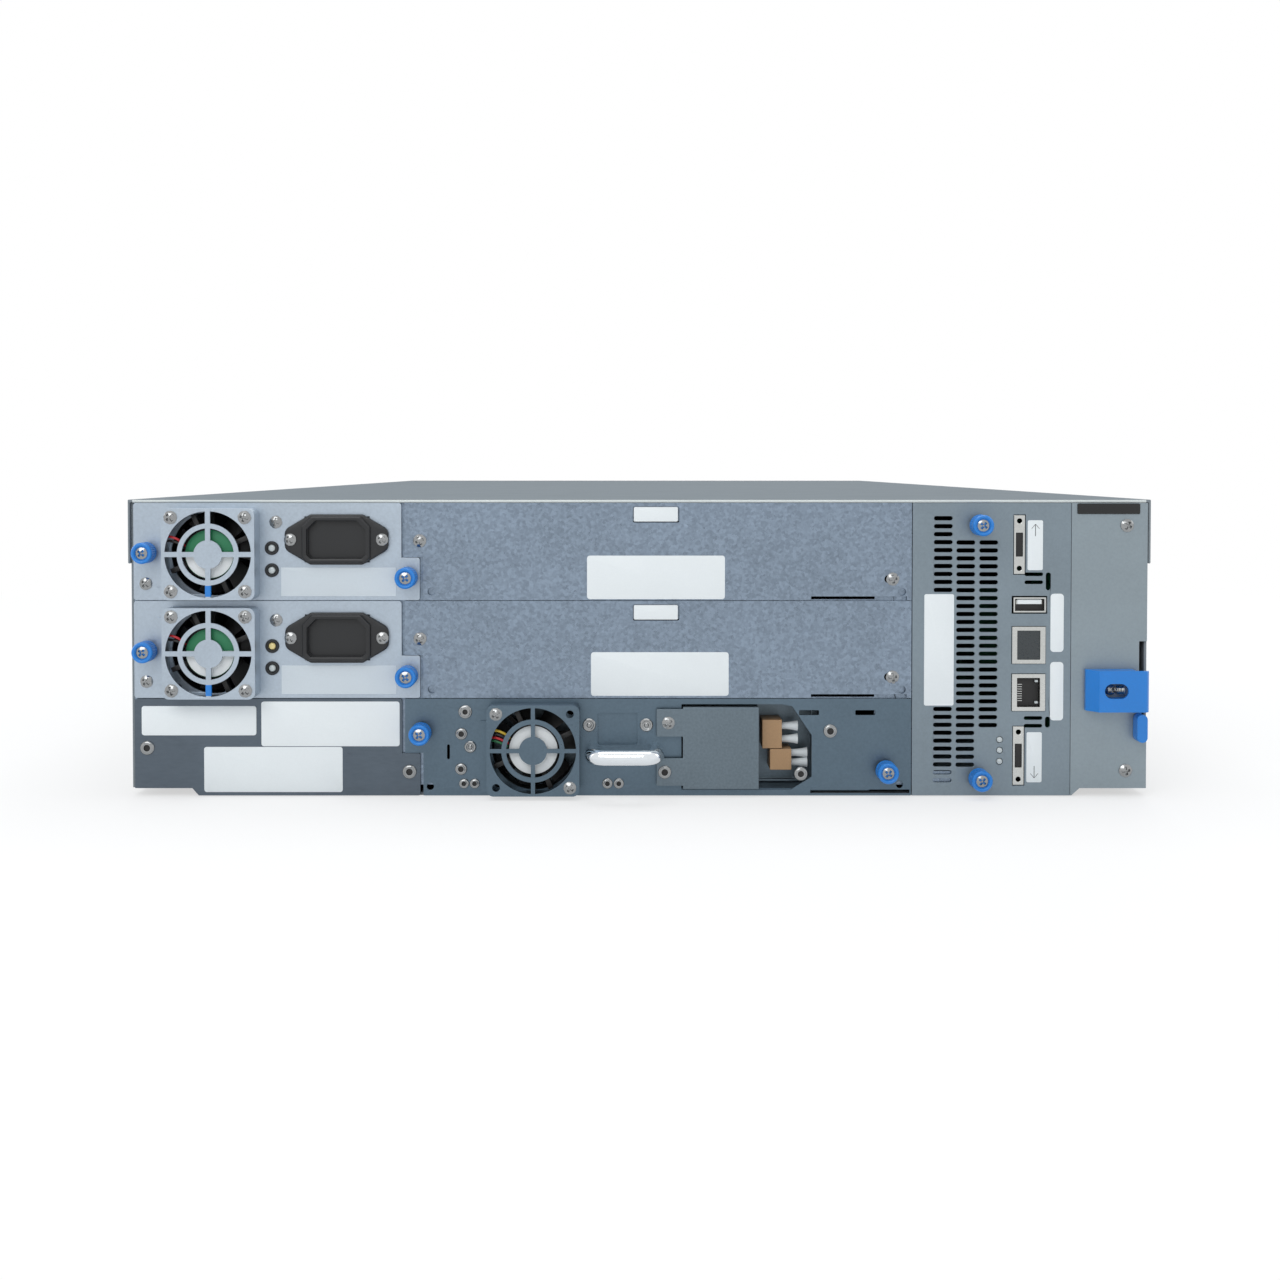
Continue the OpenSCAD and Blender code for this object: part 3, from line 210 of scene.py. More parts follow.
def noise(tree, where, scale, detail=3.0, rough=0.55, stretch=None):
    if stretch:
        mapping = tree.nodes.new("ShaderNodeMapping")
        mapping.inputs["Scale"].default_value = stretch
        tree.links.new(where, mapping.inputs["Vector"])
        where = mapping.outputs[0]
    n = tree.nodes.new("ShaderNodeTexNoise")
    n.inputs["Scale"].default_value = scale
    n.inputs["Detail"].default_value = detail
    n.inputs["Roughness"].default_value = rough
    tree.links.new(where, n.inputs["Vector"])
    return n.outputs["Fac"]


# a value from 0-1 noise moved to low-high, sharper when the window is narrow
def spread(tree, value, low, high, start=0.3, end=0.7):
    n = tree.nodes.new("ShaderNodeMapRange")
    n.inputs["From Min"].default_value = start
    n.inputs["From Max"].default_value = end
    n.inputs["To Min"].default_value = low
    n.inputs["To Max"].default_value = high
    tree.links.new(value, n.inputs["Value"])
    return n.outputs[0]


# a colour brightened or darkened by a value round 1
def shadeBy(tree, colour, value):
    n = tree.nodes.new("ShaderNodeMix")
    n.data_type = "RGBA"
    n.blend_type = "MULTIPLY"
    n.inputs["Factor"].default_value = 1.0
    n.inputs["A"].default_value = colour
    tree.links.new(value, n.inputs["B"])
    return n.outputs["Result"]


def bump(tree, shader, height, strength, depth):
    n = tree.nodes.new("ShaderNodeBump")
    n.inputs["Strength"].default_value = strength
    n.inputs["Distance"].default_value = depth * mm
    tree.links.new(height, n.inputs["Height"])
    tree.links.new(n.outputs[0], shader.inputs["Normal"])


# how fine the clouds and the grain are, and how deep the grain is in mm
skinSet = {"sheetCloud": 26, "sheetGrain": 900, "sheetBump": 0.15, "mouldCloud": 40, "mouldGrain": 1400,
           "deep": 0.03}


# plated or bare sheet: cloudy patches, fine grain, optional zinc flowers and a rolling direction
def sheetFinish(name, look):
    mat, tree, shader, where = startMaterial(name)
    cloud = noise(tree, where, skinSet["sheetCloud"], 4)
    grain = noise(tree, where, skinSet["sheetGrain"], 2, 0.6, look.get("stretch"))
    value = mathNode(tree, "ADD", spread(tree, cloud, 1 - look["patch"], 1 + look["patch"]),
                     spread(tree, grain, -look["grain"], look["grain"]))
    rough = mathNode(tree, "ADD", spread(tree, cloud, look["rough"] - 0.05, look["rough"] + 0.05),
                     spread(tree, grain, -0.05, 0.05))
    if look.get("flower"):
        cells = tree.nodes.new("ShaderNodeTexVoronoi")
        cells.inputs["Scale"].default_value = look["flowerScale"]
        bent = tree.nodes.new("ShaderNodeVectorMath")
        bent.operation = "ADD"
        wobble = tree.nodes.new("ShaderNodeTexNoise")
        wobble.inputs["Scale"].default_value = look["flowerScale"] * 1.5
        scaled = tree.nodes.new("ShaderNodeVectorMath")
        scaled.operation = "SCALE"
        scaled.inputs["Scale"].default_value = 0.9 / look["flowerScale"]
        tree.links.new(where, wobble.inputs["Vector"])
        tree.links.new(wobble.outputs["Color"], scaled.inputs[0])
        tree.links.new(where, bent.inputs[0])
        tree.links.new(scaled.outputs[0], bent.inputs[1])
        tree.links.new(bent.outputs[0], cells.inputs["Vector"])
        split = tree.nodes.new("ShaderNodeSeparateColor")
        tree.links.new(cells.outputs["Color"], split.inputs[0])
        value = mathNode(tree, "ADD", value,
                         spread(tree, split.outputs[0], -look["flower"], look["flower"], 0, 1))
        rough = mathNode(tree, "ADD", rough, spread(tree, split.outputs[1], -0.07, 0.07, 0, 1))
    tree.links.new(shadeBy(tree, tone(*look["colour"]), value), shader.inputs["Base Color"])
    tree.links.new(rough, shader.inputs["Roughness"])
    shader.inputs["Metallic"].default_value = look["metal"]
    bump(tree, shader, grain, skinSet["sheetBump"], skinSet["deep"])
    return mat


# moulded or painted skin: fine grain in the colour, gloss and surface
def mouldedFinish(name, look):
    mat, tree, shader, where = startMaterial(name)
    cloud = noise(tree, where, skinSet["mouldCloud"])
    grain = noise(tree, where, skinSet["mouldGrain"], 2, 0.6)
    value = mathNode(tree, "ADD", spread(tree, cloud, 1 - look["patch"], 1 + look["patch"]),
                     spread(tree, grain, -look["grain"], look["grain"]))
    tree.links.new(shadeBy(tree, tone(*look["colour"]), value), shader.inputs["Base Color"])
    rough = spread(tree, grain, look["rough"] - 0.06, look["rough"] + 0.06)
    tree.links.new(rough, shader.inputs["Roughness"])
    shader.inputs["Specular IOR Level"].default_value = look.get("shine", 0.5)
    bump(tree, shader, grain, look.get("bump", 0.2), skinSet["deep"])
    return mat


# plated, bare and painted sheet and other metal
sheetLooks = {
    "controllerPaint": {"colour": (127, 140, 149), "metal": 0.55, "rough": 0.42, "patch": 0.05,
                        "grain": 0.05},
    "columnPaint": {"colour": (140, 152, 159), "metal": 0.55, "rough": 0.42, "patch": 0.04, "grain": 0.04},
    "palePlate": {"colour": (172, 184, 196), "metal": 0.7, "rough": 0.38, "patch": 0.05, "grain": 0.05},
    "zincSheet": {"colour": (128, 142, 158), "metal": 0.85, "rough": 0.36, "patch": 0.05, "grain": 0.08,
                  "flower": 0.15, "flowerScale": 800},
    "darkPlate": {"colour": (90, 100, 110), "metal": 0.8, "rough": 0.36, "patch": 0.06, "grain": 0.05,
                  "stretch": (0.25, 1, 1)},
    "sledSteel": {"colour": (92, 109, 122), "metal": 0.8, "rough": 0.36, "patch": 0.06, "grain": 0.06},
    "driveSteel": {"colour": (105, 118, 127), "metal": 0.75, "rough": 0.4, "patch": 0.06, "grain": 0.1},
    "nickelPlate": {"colour": (150, 152, 153), "metal": 1.0, "rough": 0.2, "patch": 0.08, "grain": 0.05},
    "chromeBar": {"colour": (222, 227, 231), "metal": 1.0, "rough": 0.12, "patch": 0.03, "grain": 0.02},
    "shellTin": {"colour": (196, 198, 196), "metal": 1.0, "rough": 0.25, "patch": 0.06, "grain": 0.05},
    "robotAlloy": {"colour": (186, 190, 194), "metal": 0.9, "rough": 0.35, "patch": 0.05, "grain": 0.05},
    "springWire": {"colour": (205, 206, 200), "metal": 1.0, "rough": 0.2, "patch": 0.05, "grain": 0.03},
}

# plastics, paints, paper and lenses
mouldedLooks = {
    "touchBlue": {"colour": (32, 124, 208), "rough": 0.36, "patch": 0.03, "grain": 0.03},
    "blackPlastic": {"colour": (22, 24, 27), "rough": 0.42, "patch": 0.06, "grain": 0.08},
    "fanPlastic": {"colour": (17, 17, 18), "rough": 0.5, "patch": 0.06, "grain": 0.08},
    "bezelPlastic": {"colour": (52, 55, 59), "rough": 0.55, "patch": 0.04, "grain": 0.08, "bump": 0.5},
    "buttonGrey": {"colour": (170, 174, 178), "rough": 0.4, "patch": 0.03, "grain": 0.03},
    "displayGlass": {"colour": (10, 13, 17), "rough": 0.12, "patch": 0.02, "grain": 0.02, "bump": 0.02},
    "boardGreen": {"colour": (24, 92, 62), "rough": 0.4, "patch": 0.05, "grain": 0.05},
    "portTan": {"colour": (166, 132, 96), "rough": 0.45, "patch": 0.04, "grain": 0.05},
    "plugWhite": {"colour": (216, 222, 225), "rough": 0.45, "patch": 0.02, "grain": 0.02},
    "coverPaint": {"colour": (130, 137, 142), "rough": 0.8, "patch": 0.03, "grain": 0.04, "shine": 0.0},
    # painted highlight: the hem's pale colour stands in for the light on its bend
    "hemPaintedHighlight": {"colour": (205, 211, 210), "rough": 0.4, "patch": 0.03, "grain": 0.03},
    "blankPlug": {"colour": (52, 58, 61), "rough": 0.3, "patch": 0.06, "grain": 0.03},
    "labelPaper": {"colour": (233, 238, 240), "rough": 0.5, "patch": 0.012, "grain": 0.01, "bump": 0.05},
    "labelFilm": {"colour": (205, 214, 221), "rough": 0.35, "patch": 0.015, "grain": 0.012, "bump": 0.05},
    "printInk": {"colour": (38, 42, 46), "rough": 0.5, "patch": 0.03, "grain": 0.03},
    "lensClear": {"colour": (196, 203, 204), "rough": 0.15, "patch": 0.04, "grain": 0.02, "bump": 0.02},
    "lensAmber": {"colour": (236, 216, 150), "rough": 0.15, "patch": 0.04, "grain": 0.02, "bump": 0.02},
    "stickerWhite": {"colour": (232, 235, 236), "rough": 0.45, "patch": 0.02, "grain": 0.015, "bump": 0.05},
    "stickerGreen": {"colour": (30, 122, 80), "rough": 0.45, "patch": 0.04, "grain": 0.02, "bump": 0.05},
    "leadRed": {"colour": (196, 44, 52), "rough": 0.4, "patch": 0.03, "grain": 0.03},
    "leadBlack": {"colour": (24, 24, 26), "rough": 0.4, "patch": 0.03, "grain": 0.03},
    "leadYellow": {"colour": (214, 180, 60), "rough": 0.4, "patch": 0.03, "grain": 0.03},
    "leadGreen": {"colour": (40, 110, 70), "rough": 0.4, "patch": 0.03, "grain": 0.03},
    "namePlate": {"colour": (14, 16, 17), "rough": 0.22, "patch": 0.04, "grain": 0.02, "bump": 0.05},
    "magazineGrey": {"colour": (138, 142, 147), "rough": 0.5, "patch": 0.03, "grain": 0.05},
}
finish = {}
for name, look in sheetLooks.items():
    finish[name] = sheetFinish(name, look)
for name, look in mouldedLooks.items():
    finish[name] = mouldedFinish(name, look)

# which finish each carried-over part wears
partFinish = {
    "coverPaint": ["base_tray", "top_cover", "rack_ears"],
    "zincSheet": ["rear_frame", "bay_cover_1", "bay_cover_2"],
    "darkPlate": ["product_plate"],
    "columnPaint": ["latch_plate"],
    "controllerPaint": ["controller_tray"],
    "palePlate": ["psu_1_case", "psu_2_case", "psu_1_guard", "psu_2_guard"],
    "sledSteel": ["sled_tray", "sled_guard"],
    "driveSteel": ["tape_drive"],
    "nickelPlate": ["plate_fasteners", "psu_1_screws", "psu_2_screws", "sled_fasteners"],
    "springWire": ["latch_spring"],
    "touchBlue": ["lock_block", "alignment_lever", "psu_1_knob_left", "psu_1_knob_right", "psu_2_knob_left",
                  "psu_2_knob_right", "sled_knob_left", "sled_knob_right", "controller_knob_top",
                  "controller_knob_bottom"],
    "bezelPlastic": ["front_bezel"],
    "displayGlass": ["display_window"],
    "buttonGrey": ["button_previous", "button_next", "button_enter", "button_back", "power_button"],
    "robotAlloy": ["robot_rails", "robot_carriage", "robot_lift", "robot_gripper"],
    "boardGreen": ["power_backplane", "controller_board"],
    "fanPlastic": ["psu_1_fan_frame", "psu_1_fan_rotor", "psu_2_fan_frame", "psu_2_fan_rotor",
                   "sled_fan_frame", "sled_fan_rotor"],
    "blackPlastic": ["psu_1_inlet", "psu_2_inlet", "robot_picker"],
    "chromeBar": ["sled_handle"],
    "portTan": ["fibre_ports"],
    "plugWhite": ["dust_plugs"],
    "shellTin": ["controller_ports"],
    "magazineGrey": ["left_magazine", "right_magazine", "mail_station"],
}
for name, parts in partFinish.items():
    for part in parts:
        nodes[part].data.materials.clear()
        nodes[part].data.materials.append(finish[name])
print("tape library: parts finished in", len(finish), "materials")


# panel coordinates: u across and v up in mm from a part's lower left corner, out in mm from the rear face
def onPanel(node, points, base=None):
    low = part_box(node)[0]
    z = low.z if base is None else base
    p = np.asarray(points, float)
    return np.stack([low.x + p[..., 0] * mm, rearFace - p[..., 2] * mm, z + p[..., 1] * mm], -1)


# one closed surface from a grid of points, rows along the profile and columns round it;
# an end is closed to a point where its row has shrunk to one, else with a flat face
def surfaceFaces(grid, base):
    rows, cols = grid.shape[:2]
    tips = [np.ptp(grid[i].reshape(-1, 3), axis=0).max() < 1e-7 for i in (0, -1)]
    r, c = np.meshgrid(np.arange(rows - 1), np.arange(cols), indexing="ij")
    d = (c + 1) % cols
    quads = np.stack([r * cols + c, r * cols + d, (r + 1) * cols + d, (r + 1) * cols + c], -1) + base
    faces = quads[1 if tips[0] else 0:rows - 2 if tips[1] else rows - 1].reshape(-1, 4).tolist()
    last = base + (rows - 1) * cols
    ring = np.arange(cols)
    if tips[0]:
        faces += np.stack([0 * ring + base, base + cols + (ring + 1) % cols, base + cols + ring], -1).tolist()
    else:
        faces.append((base + ring[::-1]).tolist())
    if tips[1]:
        faces += np.stack([last - cols + ring, last - cols + (ring + 1) % cols, 0 * ring + last], -1).tolist()
    else:
        faces.append((last + ring).tolist())
    return faces


# several closed surfaces in one piece, each with its own finish, on one body
def makePiece(name, surfaces, finishes, body, stands=(), crease=38):
    points, faces, wears, base = [], [], [], 0
    for grid, wear in surfaces:
        grid = np.asarray(grid, float)
        made = surfaceFaces(grid, base)
        faces += made
        wears += [wear] * len(made)
        points.append(grid.reshape(-1, 3))
        base += points[-1].shape[0]
    mesh = bpy.data.meshes.new(name)
    mesh.from_pydata(np.concatenate(points).tolist(), [], faces)
    for f in finishes:
        mesh.materials.append(finish[f])
    mesh.polygons.foreach_set("material_index", np.array(wears, np.int32))
    tidy = bmesh.new()
    tidy.from_mesh(mesh)
    bmesh.ops.remove_doubles(tidy, verts=tidy.verts, dist=1e-7)
    bmesh.ops.recalc_face_normals(tidy, faces=tidy.faces)
    tidy.to_mesh(mesh)
    tidy.free()
    mesh.shade_smooth()
    mesh.set_sharp_from_angle(angle=math.radians(crease))
    piece = bpy.data.objects.new(name, mesh)
    scene.collection.objects.link(piece)
    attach(piece, body)
    if stands:
        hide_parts(*stands)


# turned shape: each (radius, out) of the profile is carried round the axis, radius * (cos a, sin a);
# flutes are a cosine wave cut into the rows between two heights
def turned(u, v, profile, steps=40, flutes=0, cut=0.0, between=(0, 0)):
    radius, out = np.array(profile, float).T
    a = np.linspace(0, 2 * np.pi, steps, endpoint=False)
    r = radius[:, None] * np.ones(steps)
    if flutes:
        within = ((out >= between[0]) & (out <= between[1])).astype(float)[:, None]
        r = r - within * cut * 0.5 * (1 - np.cos(flutes * a))
    return np.stack([u + r * np.cos(a), v + r * np.sin(a), out[:, None] + 0 * r], -1)


# corners pulled inwards by a distance: each corner moves by d (n1 + n2) / (1 + n1.n2),
# where n1 and n2 are the inward normals of its two sides, for corners listed anticlockwise
def pulledIn(corners, d):
    p = np.array(corners, float)
    side = np.roll(p, -1, 0) - p
    side /= np.linalg.norm(side, axis=1, keepdims=True)
    n2 = np.stack([-side[:, 1], side[:, 0]], -1)
    n1 = np.roll(n2, 1, 0)
    return p + d * (n1 + n2) / (1 + (n1 * n2).sum(1, keepdims=True))


# each corner becomes an arc of the given radius that touches both of its sides
def rounded(corners, radius, steps=5):
    p = np.array(corners, float)
    radius = np.broadcast_to(np.maximum(np.asarray(radius, float), 1e-4), (len(p),))[:, None]
    back = np.roll(p, 1, 0) - p
    ahead = np.roll(p, -1, 0) - p
    back /= np.linalg.norm(back, axis=1, keepdims=True)
    ahead /= np.linalg.norm(ahead, axis=1, keepdims=True)
    half = np.arccos(np.clip((back * ahead).sum(1, keepdims=True), -1, 1)) / 2
    mid = back + ahead
    mid /= np.linalg.norm(mid, axis=1, keepdims=True)
    centre = p + mid * radius / np.sin(half)
    start = p + back * radius / np.tan(half) - centre
    end = p + ahead * radius / np.tan(half) - centre
    turn = np.arctan2(start[:, 0] * end[:, 1] - start[:, 1] * end[:, 0], (start * end).sum(1))[:, None]
    a = turn * np.linspace(0, 1, steps)
    x = centre[:, :1] + start[:, :1] * np.cos(a) - start[:, 1:] * np.sin(a)
    y = centre[:, 1:] + start[:, :1] * np.sin(a) + start[:, 1:] * np.cos(a)
    return np.stack([x, y], -1).reshape(-1, 2)


# stacked outline: for each (inset, out, corner radius) the corners are pulled in, rounded and raised
def stacked(corners, levels, steps=5):
    rows = []
    for level in levels:
        shape = level[3] if len(level) > 3 else corners
        flat = rounded(pulledIn(shape, level[0]), level[2], steps)
        rows.append(np.column_stack([flat, np.full(len(flat), float(level[1]))]))
    return np.array(rows)


def rectangle(u0, v0, u1, v1):
    return [(u0, v0), (u1, v0), (u1, v1), (u0, v1)]


# flat block on the panel with an eased front edge
def slab(u0, v0, u1, v1, low, high, corner=0.3, ease=0.2):
    corner = max(corner, ease + 0.02)
    return stacked(rectangle(u0, v0, u1, v1),
                   [(0, low, corner), (0, high - ease, corner),
                    (ease * 0.3, high - ease * 0.3, corner - ease * 0.3), (ease, high, corner - ease)])


# tube: a circle of radius r carried along a path, in the plane square to the path's direction
def tube(path, r, sides=10, lean=(0.1, 0.15, 0.98)):
    path = np.asarray(path, float)
    along = np.gradient(path, axis=0)
    along /= np.linalg.norm(along, axis=1, keepdims=True)
    n1 = np.cross(along, np.array(lean))
    n1 /= np.linalg.norm(n1, axis=1, keepdims=True)
    n2 = np.cross(along, n1)
    a = np.linspace(0, 2 * np.pi, sides, endpoint=False)[None, :, None]
    return path[:, None] + r * (np.cos(a) * n1[:, None] + np.sin(a) * n2[:, None])


# smooth path through a few points: each stretch is a cubic whose slopes are half the neighbours' distance
def smoothPath(points, steps=8):
    p = np.array(points, float)
    p = np.concatenate([[2 * p[0] - p[1]], p, [2 * p[-1] - p[-2]]])
    t = np.linspace(0, 1, steps, endpoint=False)[None, :, None]
    a, b, c, d = (p[i:len(p) - 3 + i][:, None] for i in range(4))
    curve = 0.5 * (2 * b + (c - a) * t + (2 * a - 5 * b + 4 * c - d) * t ** 2
                   + (3 * b - a - 3 * c + d) * t ** 3)
    return np.concatenate([curve.reshape(-1, 3), p[-2:-1]])


# screw head: the dome falls with the square of the radius; within an arm's width of the cross it is sunk;
# the grid's columns follow the arms' edges, at the angle asin(arm / radius)
crossShape = {"arm": 0.15, "reach": 0.6, "sink": 0.33, "fall": 0.75}


def panHead(u, v, r, low, rise, turn):
    arm, reach = crossShape["arm"], crossShape["reach"]
    ring = np.array([0.0, 0.1, 0.2, 0.3, 0.45, reach - 0.02, reach + 0.06, 0.78, 0.9, 0.97, 1.0, 1.0])
    edge = np.arcsin(np.clip(arm / np.maximum(ring, 1e-6), 0, 1))
    inner = np.minimum(edge, np.pi / 4 - 0.06)
    outer = np.minimum(edge + 0.05 + 0.02 / np.maximum(ring, 0.05), np.pi / 4 - 0.01)
    quarter = np.stack([-inner, 0 * inner, inner, outer, 0 * inner + np.pi / 4, np.pi / 2 - outer], -1)
    a = np.concatenate([quarter + k * np.pi / 2 for k in range(4)], 1) + turn
    sunk = np.tile([1.0, 1.0, 1.0, 0.0, 0.0, 0.0], 4)
    deep = np.where(ring[:, None] < arm * 1.25, 1.0, sunk) * (ring[:, None] < reach)
    out = low + rise * (1 - crossShape["fall"] * ring[:, None] ** 2) - crossShape["sink"] * r * deep
    out[-1] = low
    x = u + r * ring[:, None] * np.cos(a)
    y = v + r * ring[:, None] * np.sin(a)
    return np.stack([x, y, out], -1)


# clinch nut: a flat ring with a rounded edge and a sunk bore
def clinchNut(u, v, r, bore, low=0.0):
    return turned(u, v, [(0, low - 2.5), (bore, low - 2.5), (bore, low + 0.75), (bore + 0.15, low + 0.95),
                         (r - 0.9, low + 1.0), (r - 0.7, low + 0.8), (r - 0.2, low + 0.7), (r, low + 0.45),
                         (r, low)], 32)


# painted shade: a dark plug that fills a nut's bore, standing in for the shade deep inside it
def boreShade(u, v, bore, low=0.0):
    return turned(u, v,
                  [(0, low - 2.2), (bore - 0.02, low - 2.2), (bore - 0.02, low + 0.35), (0, low + 0.3)], 24)


knobShape = {"radius": 4.6, "tall": 10.5, "core": 2.65, "flutes": 30, "cut": 0.3}


# blue sleeve with fine flutes round its side and a stepped face, over a steel screw with a collar
def thumbscrew(name, node, body, u, v, base=None):
    k = knobShape
    r, top = k["radius"], k["tall"]
    sleeve = turned(u, v, [(0, 2.6), (r - 1.4, 2.6), (r - 0.35, 2.75), (r, 3.2), (r, 3.6), (r, 5.5), (r, 7.5),
                           (r, 9.1), (r, 9.6), (r - 0.18, 10.15), (r - 0.55, top), (r - 1.0, top),
                           (k["core"] + 0.55, top - 0.25), (k["core"] + 0.2, top - 0.9), (0, top - 0.9)],
                    120, k["flutes"], k["cut"], (3.5, 9.2))
    collar = turned(u, v,
                    [(0, 0.1), (3.4, 0.1), (3.4, 0.9), (3.1, 1.2), (2.5, 1.3), (2.5, 2.7), (0, 2.7)], 36)
    core = panHead(u, v, k["core"], top - 0.95, 0.95, 0.9)
    shank = turned(u, v, [(0, -9), (1.3, -9), (1.8, -8.4), (1.8, 0.2), (0, 0.2)], 20)
    parts = ((sleeve, 0), (collar, 1), (core, 1), (shank, 1))
    makePiece(name, [(onPanel(node, g, base), w) for g, w in parts],
              ["touchBlue", "nickelPlate"], body, [knobNodes[name]])


# places on a power supply's face, with the inlet's screws each side of it
psuSpots = {"knob": (6.5, 21.0), "foot": (120.3, 10.2), "fan": (35.1, 20.5), "inlet": (89.2, 26.6),
            "ears": 20.05, "lights": [(60.6, 22.8), (60.6, 13.1)], "small": [(5.4, 7.2), (62.4, 34.2)]}
rowNode = {1: "psu_1_case", 2: "psu_2_case"}


# cross-head screws that hold the guard, the inlet and the case's face
def psuScrews(n):
    s, node = psuSpots, rowNode[n]
    fanU, fanV = s["fan"]
    heads = [panHead(fanU + i * 16, fanV + j * 16, 2.95, 9.4, 1.5, 0.3 * i + j)
             for i in (-1, 1) for j in (-1, 1)]
    heads += [panHead(s["inlet"][0] + i * s["ears"], s["inlet"][1], 2.7, 2.3, 1.2, i) for i in (-1, 1)]
    heads += [panHead(u, v, 2.8, 0.05, 1.2, 0.2 + u) for u, v in s["small"]]
    makePiece(f"psu{n}Screws", [(onPanel(node, g), 0) for g in heads], ["nickelPlate"], f"psu_{n}",
              [f"psu_{n}_screws"])


# black collars with a small domed lens each
def psuLights(n, lenses):
    node = rowNode[n]
    parts = []
    for (u, v), wear in zip(psuSpots["lights"], lenses):
        collar = turned(u, v,
                        [(0, -2), (2.2, -2), (2.2, 0.05), (3.05, 0.05), (3.05, 0.5), (2.8, 0.85), (2.1, 0.9),
                               (1.75, 0.6), (1.6, 0.1), (0, 0.1)], 36)
        lens = turned(u, v, [(0, -1), (1.55, -1), (1.55, 0.25), (1.35, 0.55), (0.9, 0.78), (0.4, 0.86),
                             (0, 0.88)], 28)
        parts += [(onPanel(node, collar), 0), (onPanel(node, lens), wear)]
    makePiece(f"psu{n}Lights", parts, ["blackPlastic", "lensClear", "lensAmber"], f"psu_{n}")


inletShape = {"half": 11.4, "tall": 11.0, "ear": 22.6, "earTall": 4.4, "rim": (14.9, 10.1),
              "mouth": (12.9, 8.4),
              "deep": 13.0, "pins": [(0, 3.3), (-7.0, -1.5), (7.0, -1.5)]}


# power socket: a flange that tapers to two ears, a raised rim with cut corners, a mouth and three flat pins;
# the flange's flat back closes the mouth just in front of the pins
def powerInlet(n):
    s, node = inletShape, rowNode[n]
    cu, cv = psuSpots["inlet"]
    h, t, e, et = s["half"], s["tall"], s["ear"], s["earTall"]
    flange = [(h, -t), (e, -et), (e, et), (h, t), (-h, t), (-e, et), (-e, -et), (-h, -t)]
    rx, rz = s["rim"]
    rim = [(rx - 2.2, -rz), (rx, -rz + 2.2), (rx, rz - 4.4), (rx - 4.2, rz), (-rx + 4.2, rz), (-rx, rz - 4.4),
           (-rx, -rz + 2.2), (-rx + 2.2, -rz)]
    mx, mz = s["mouth"]
    mouth = [(mx - 1.8, -mz), (mx, -mz + 1.8), (mx, mz - 4.0), (mx - 3.9, mz), (-mx + 3.9, mz),
             (-mx, mz - 4.0),
             (-mx, -mz + 1.8), (-mx + 1.8, -mz)]
    soft = [2.0, 3.9, 3.9, 2.0, 2.0, 3.9, 3.9, 2.0]
    shell = stacked(flange, [(0, 0.02, soft), (0, 1.7, soft), (0.25, 2.05, soft), (0.6, 2.2, soft),
                             (0, 2.22, 0.8, rim), (0, 2.9, 0.8, rim), (0.2, 3.25, 0.8, rim),
                             (0.55, 3.4, 0.8, rim),
                             (1.0, 3.4, 0.8, rim), (0.0, 3.15, 0.5, mouth), (0.0, 1.4, 0.5, mouth),
                             (0.35, 1.0, 0.5, mouth), (0.5, -s["deep"], 0.5, mouth)], 7)
    parts = [(shell, 0)]
    for u, v in s["pins"]:
        pin = stacked(rectangle(u - 1.0, v - 2.0, u + 1.0, v + 2.0),
                      [(0, -s["deep"] - 0.1, 0.3), (0, -2.0, 0.3), (0.45, -1.0, 0.2), (0.6, -0.8, 0.15)], 3)
        parts.append((pin, 1))
    parts = [(onPanel(node, g + np.array([cu, cv, 0])), w) for g, w in parts]
    makePiece(f"psu{n}Inlet", parts, ["blackPlastic", "shellTin"], f"psu_{n}",
              [f"psu_{n}_inlet"])


fanShape = {"bore": 18.55, "hub": 11.1, "blades": 7, "bladeOut": 18.0, "strut": 1.1}


# still part of a fan: a hub that faces the back and four struts, out is the hub's face
def fanStator(name, node, body, u, v, out, sticker):
    f = fanShape
    hub = turned(0, 0,
                 [(0, out - 6), (f["hub"], out - 6), (f["hub"], out - 0.5), (f["hub"] - 0.4, out - 0.15),
                        (0, out - 0.15)], 56)
    parts = [(hub, 0)]
    for k in range(4):
        a = math.radians(24 + 90 * k)
        turn = np.array([[math.cos(a), math.sin(a)], [-math.sin(a), math.cos(a)]])
        bar = slab(f["hub"] - 0.6, -f["strut"], f["bore"] + 0.2, f["strut"], out - 5, out - 1.2, 0.4, 0.3)
        bar[..., :2] = bar[..., :2] @ turn
        parts.append((bar, 0))
    # paper disc on the hub
    disc = turned(0, 0, [(0, out - 0.2), (f["hub"] - 0.55, out - 0.2), (f["hub"] - 0.55, out - 0.04),
                         (f["hub"] - 0.65, out), (0, out)], 56)
    parts.append((disc, 1))
    # the lower half of a two-coloured sticker: a half disc a hair above it
    if sticker == "stickerGreen":
        t = np.linspace(np.pi * 0.97, np.pi * 2.03, 30)
        half = np.stack([(f["hub"] - 0.7) * np.cos(t), (f["hub"] - 0.7) * np.sin(t)], -1)
        parts.append((stacked(half, [(0, out - 0.1, 0.01), (0, out + 0.03, 0.01)], 2), 2))
    place = np.array([u, v, 0])
    makePiece(name, [(onPanel(node, g + place), w) for g, w in parts],
              ["fanPlastic", sticker, "stickerWhite"], body)


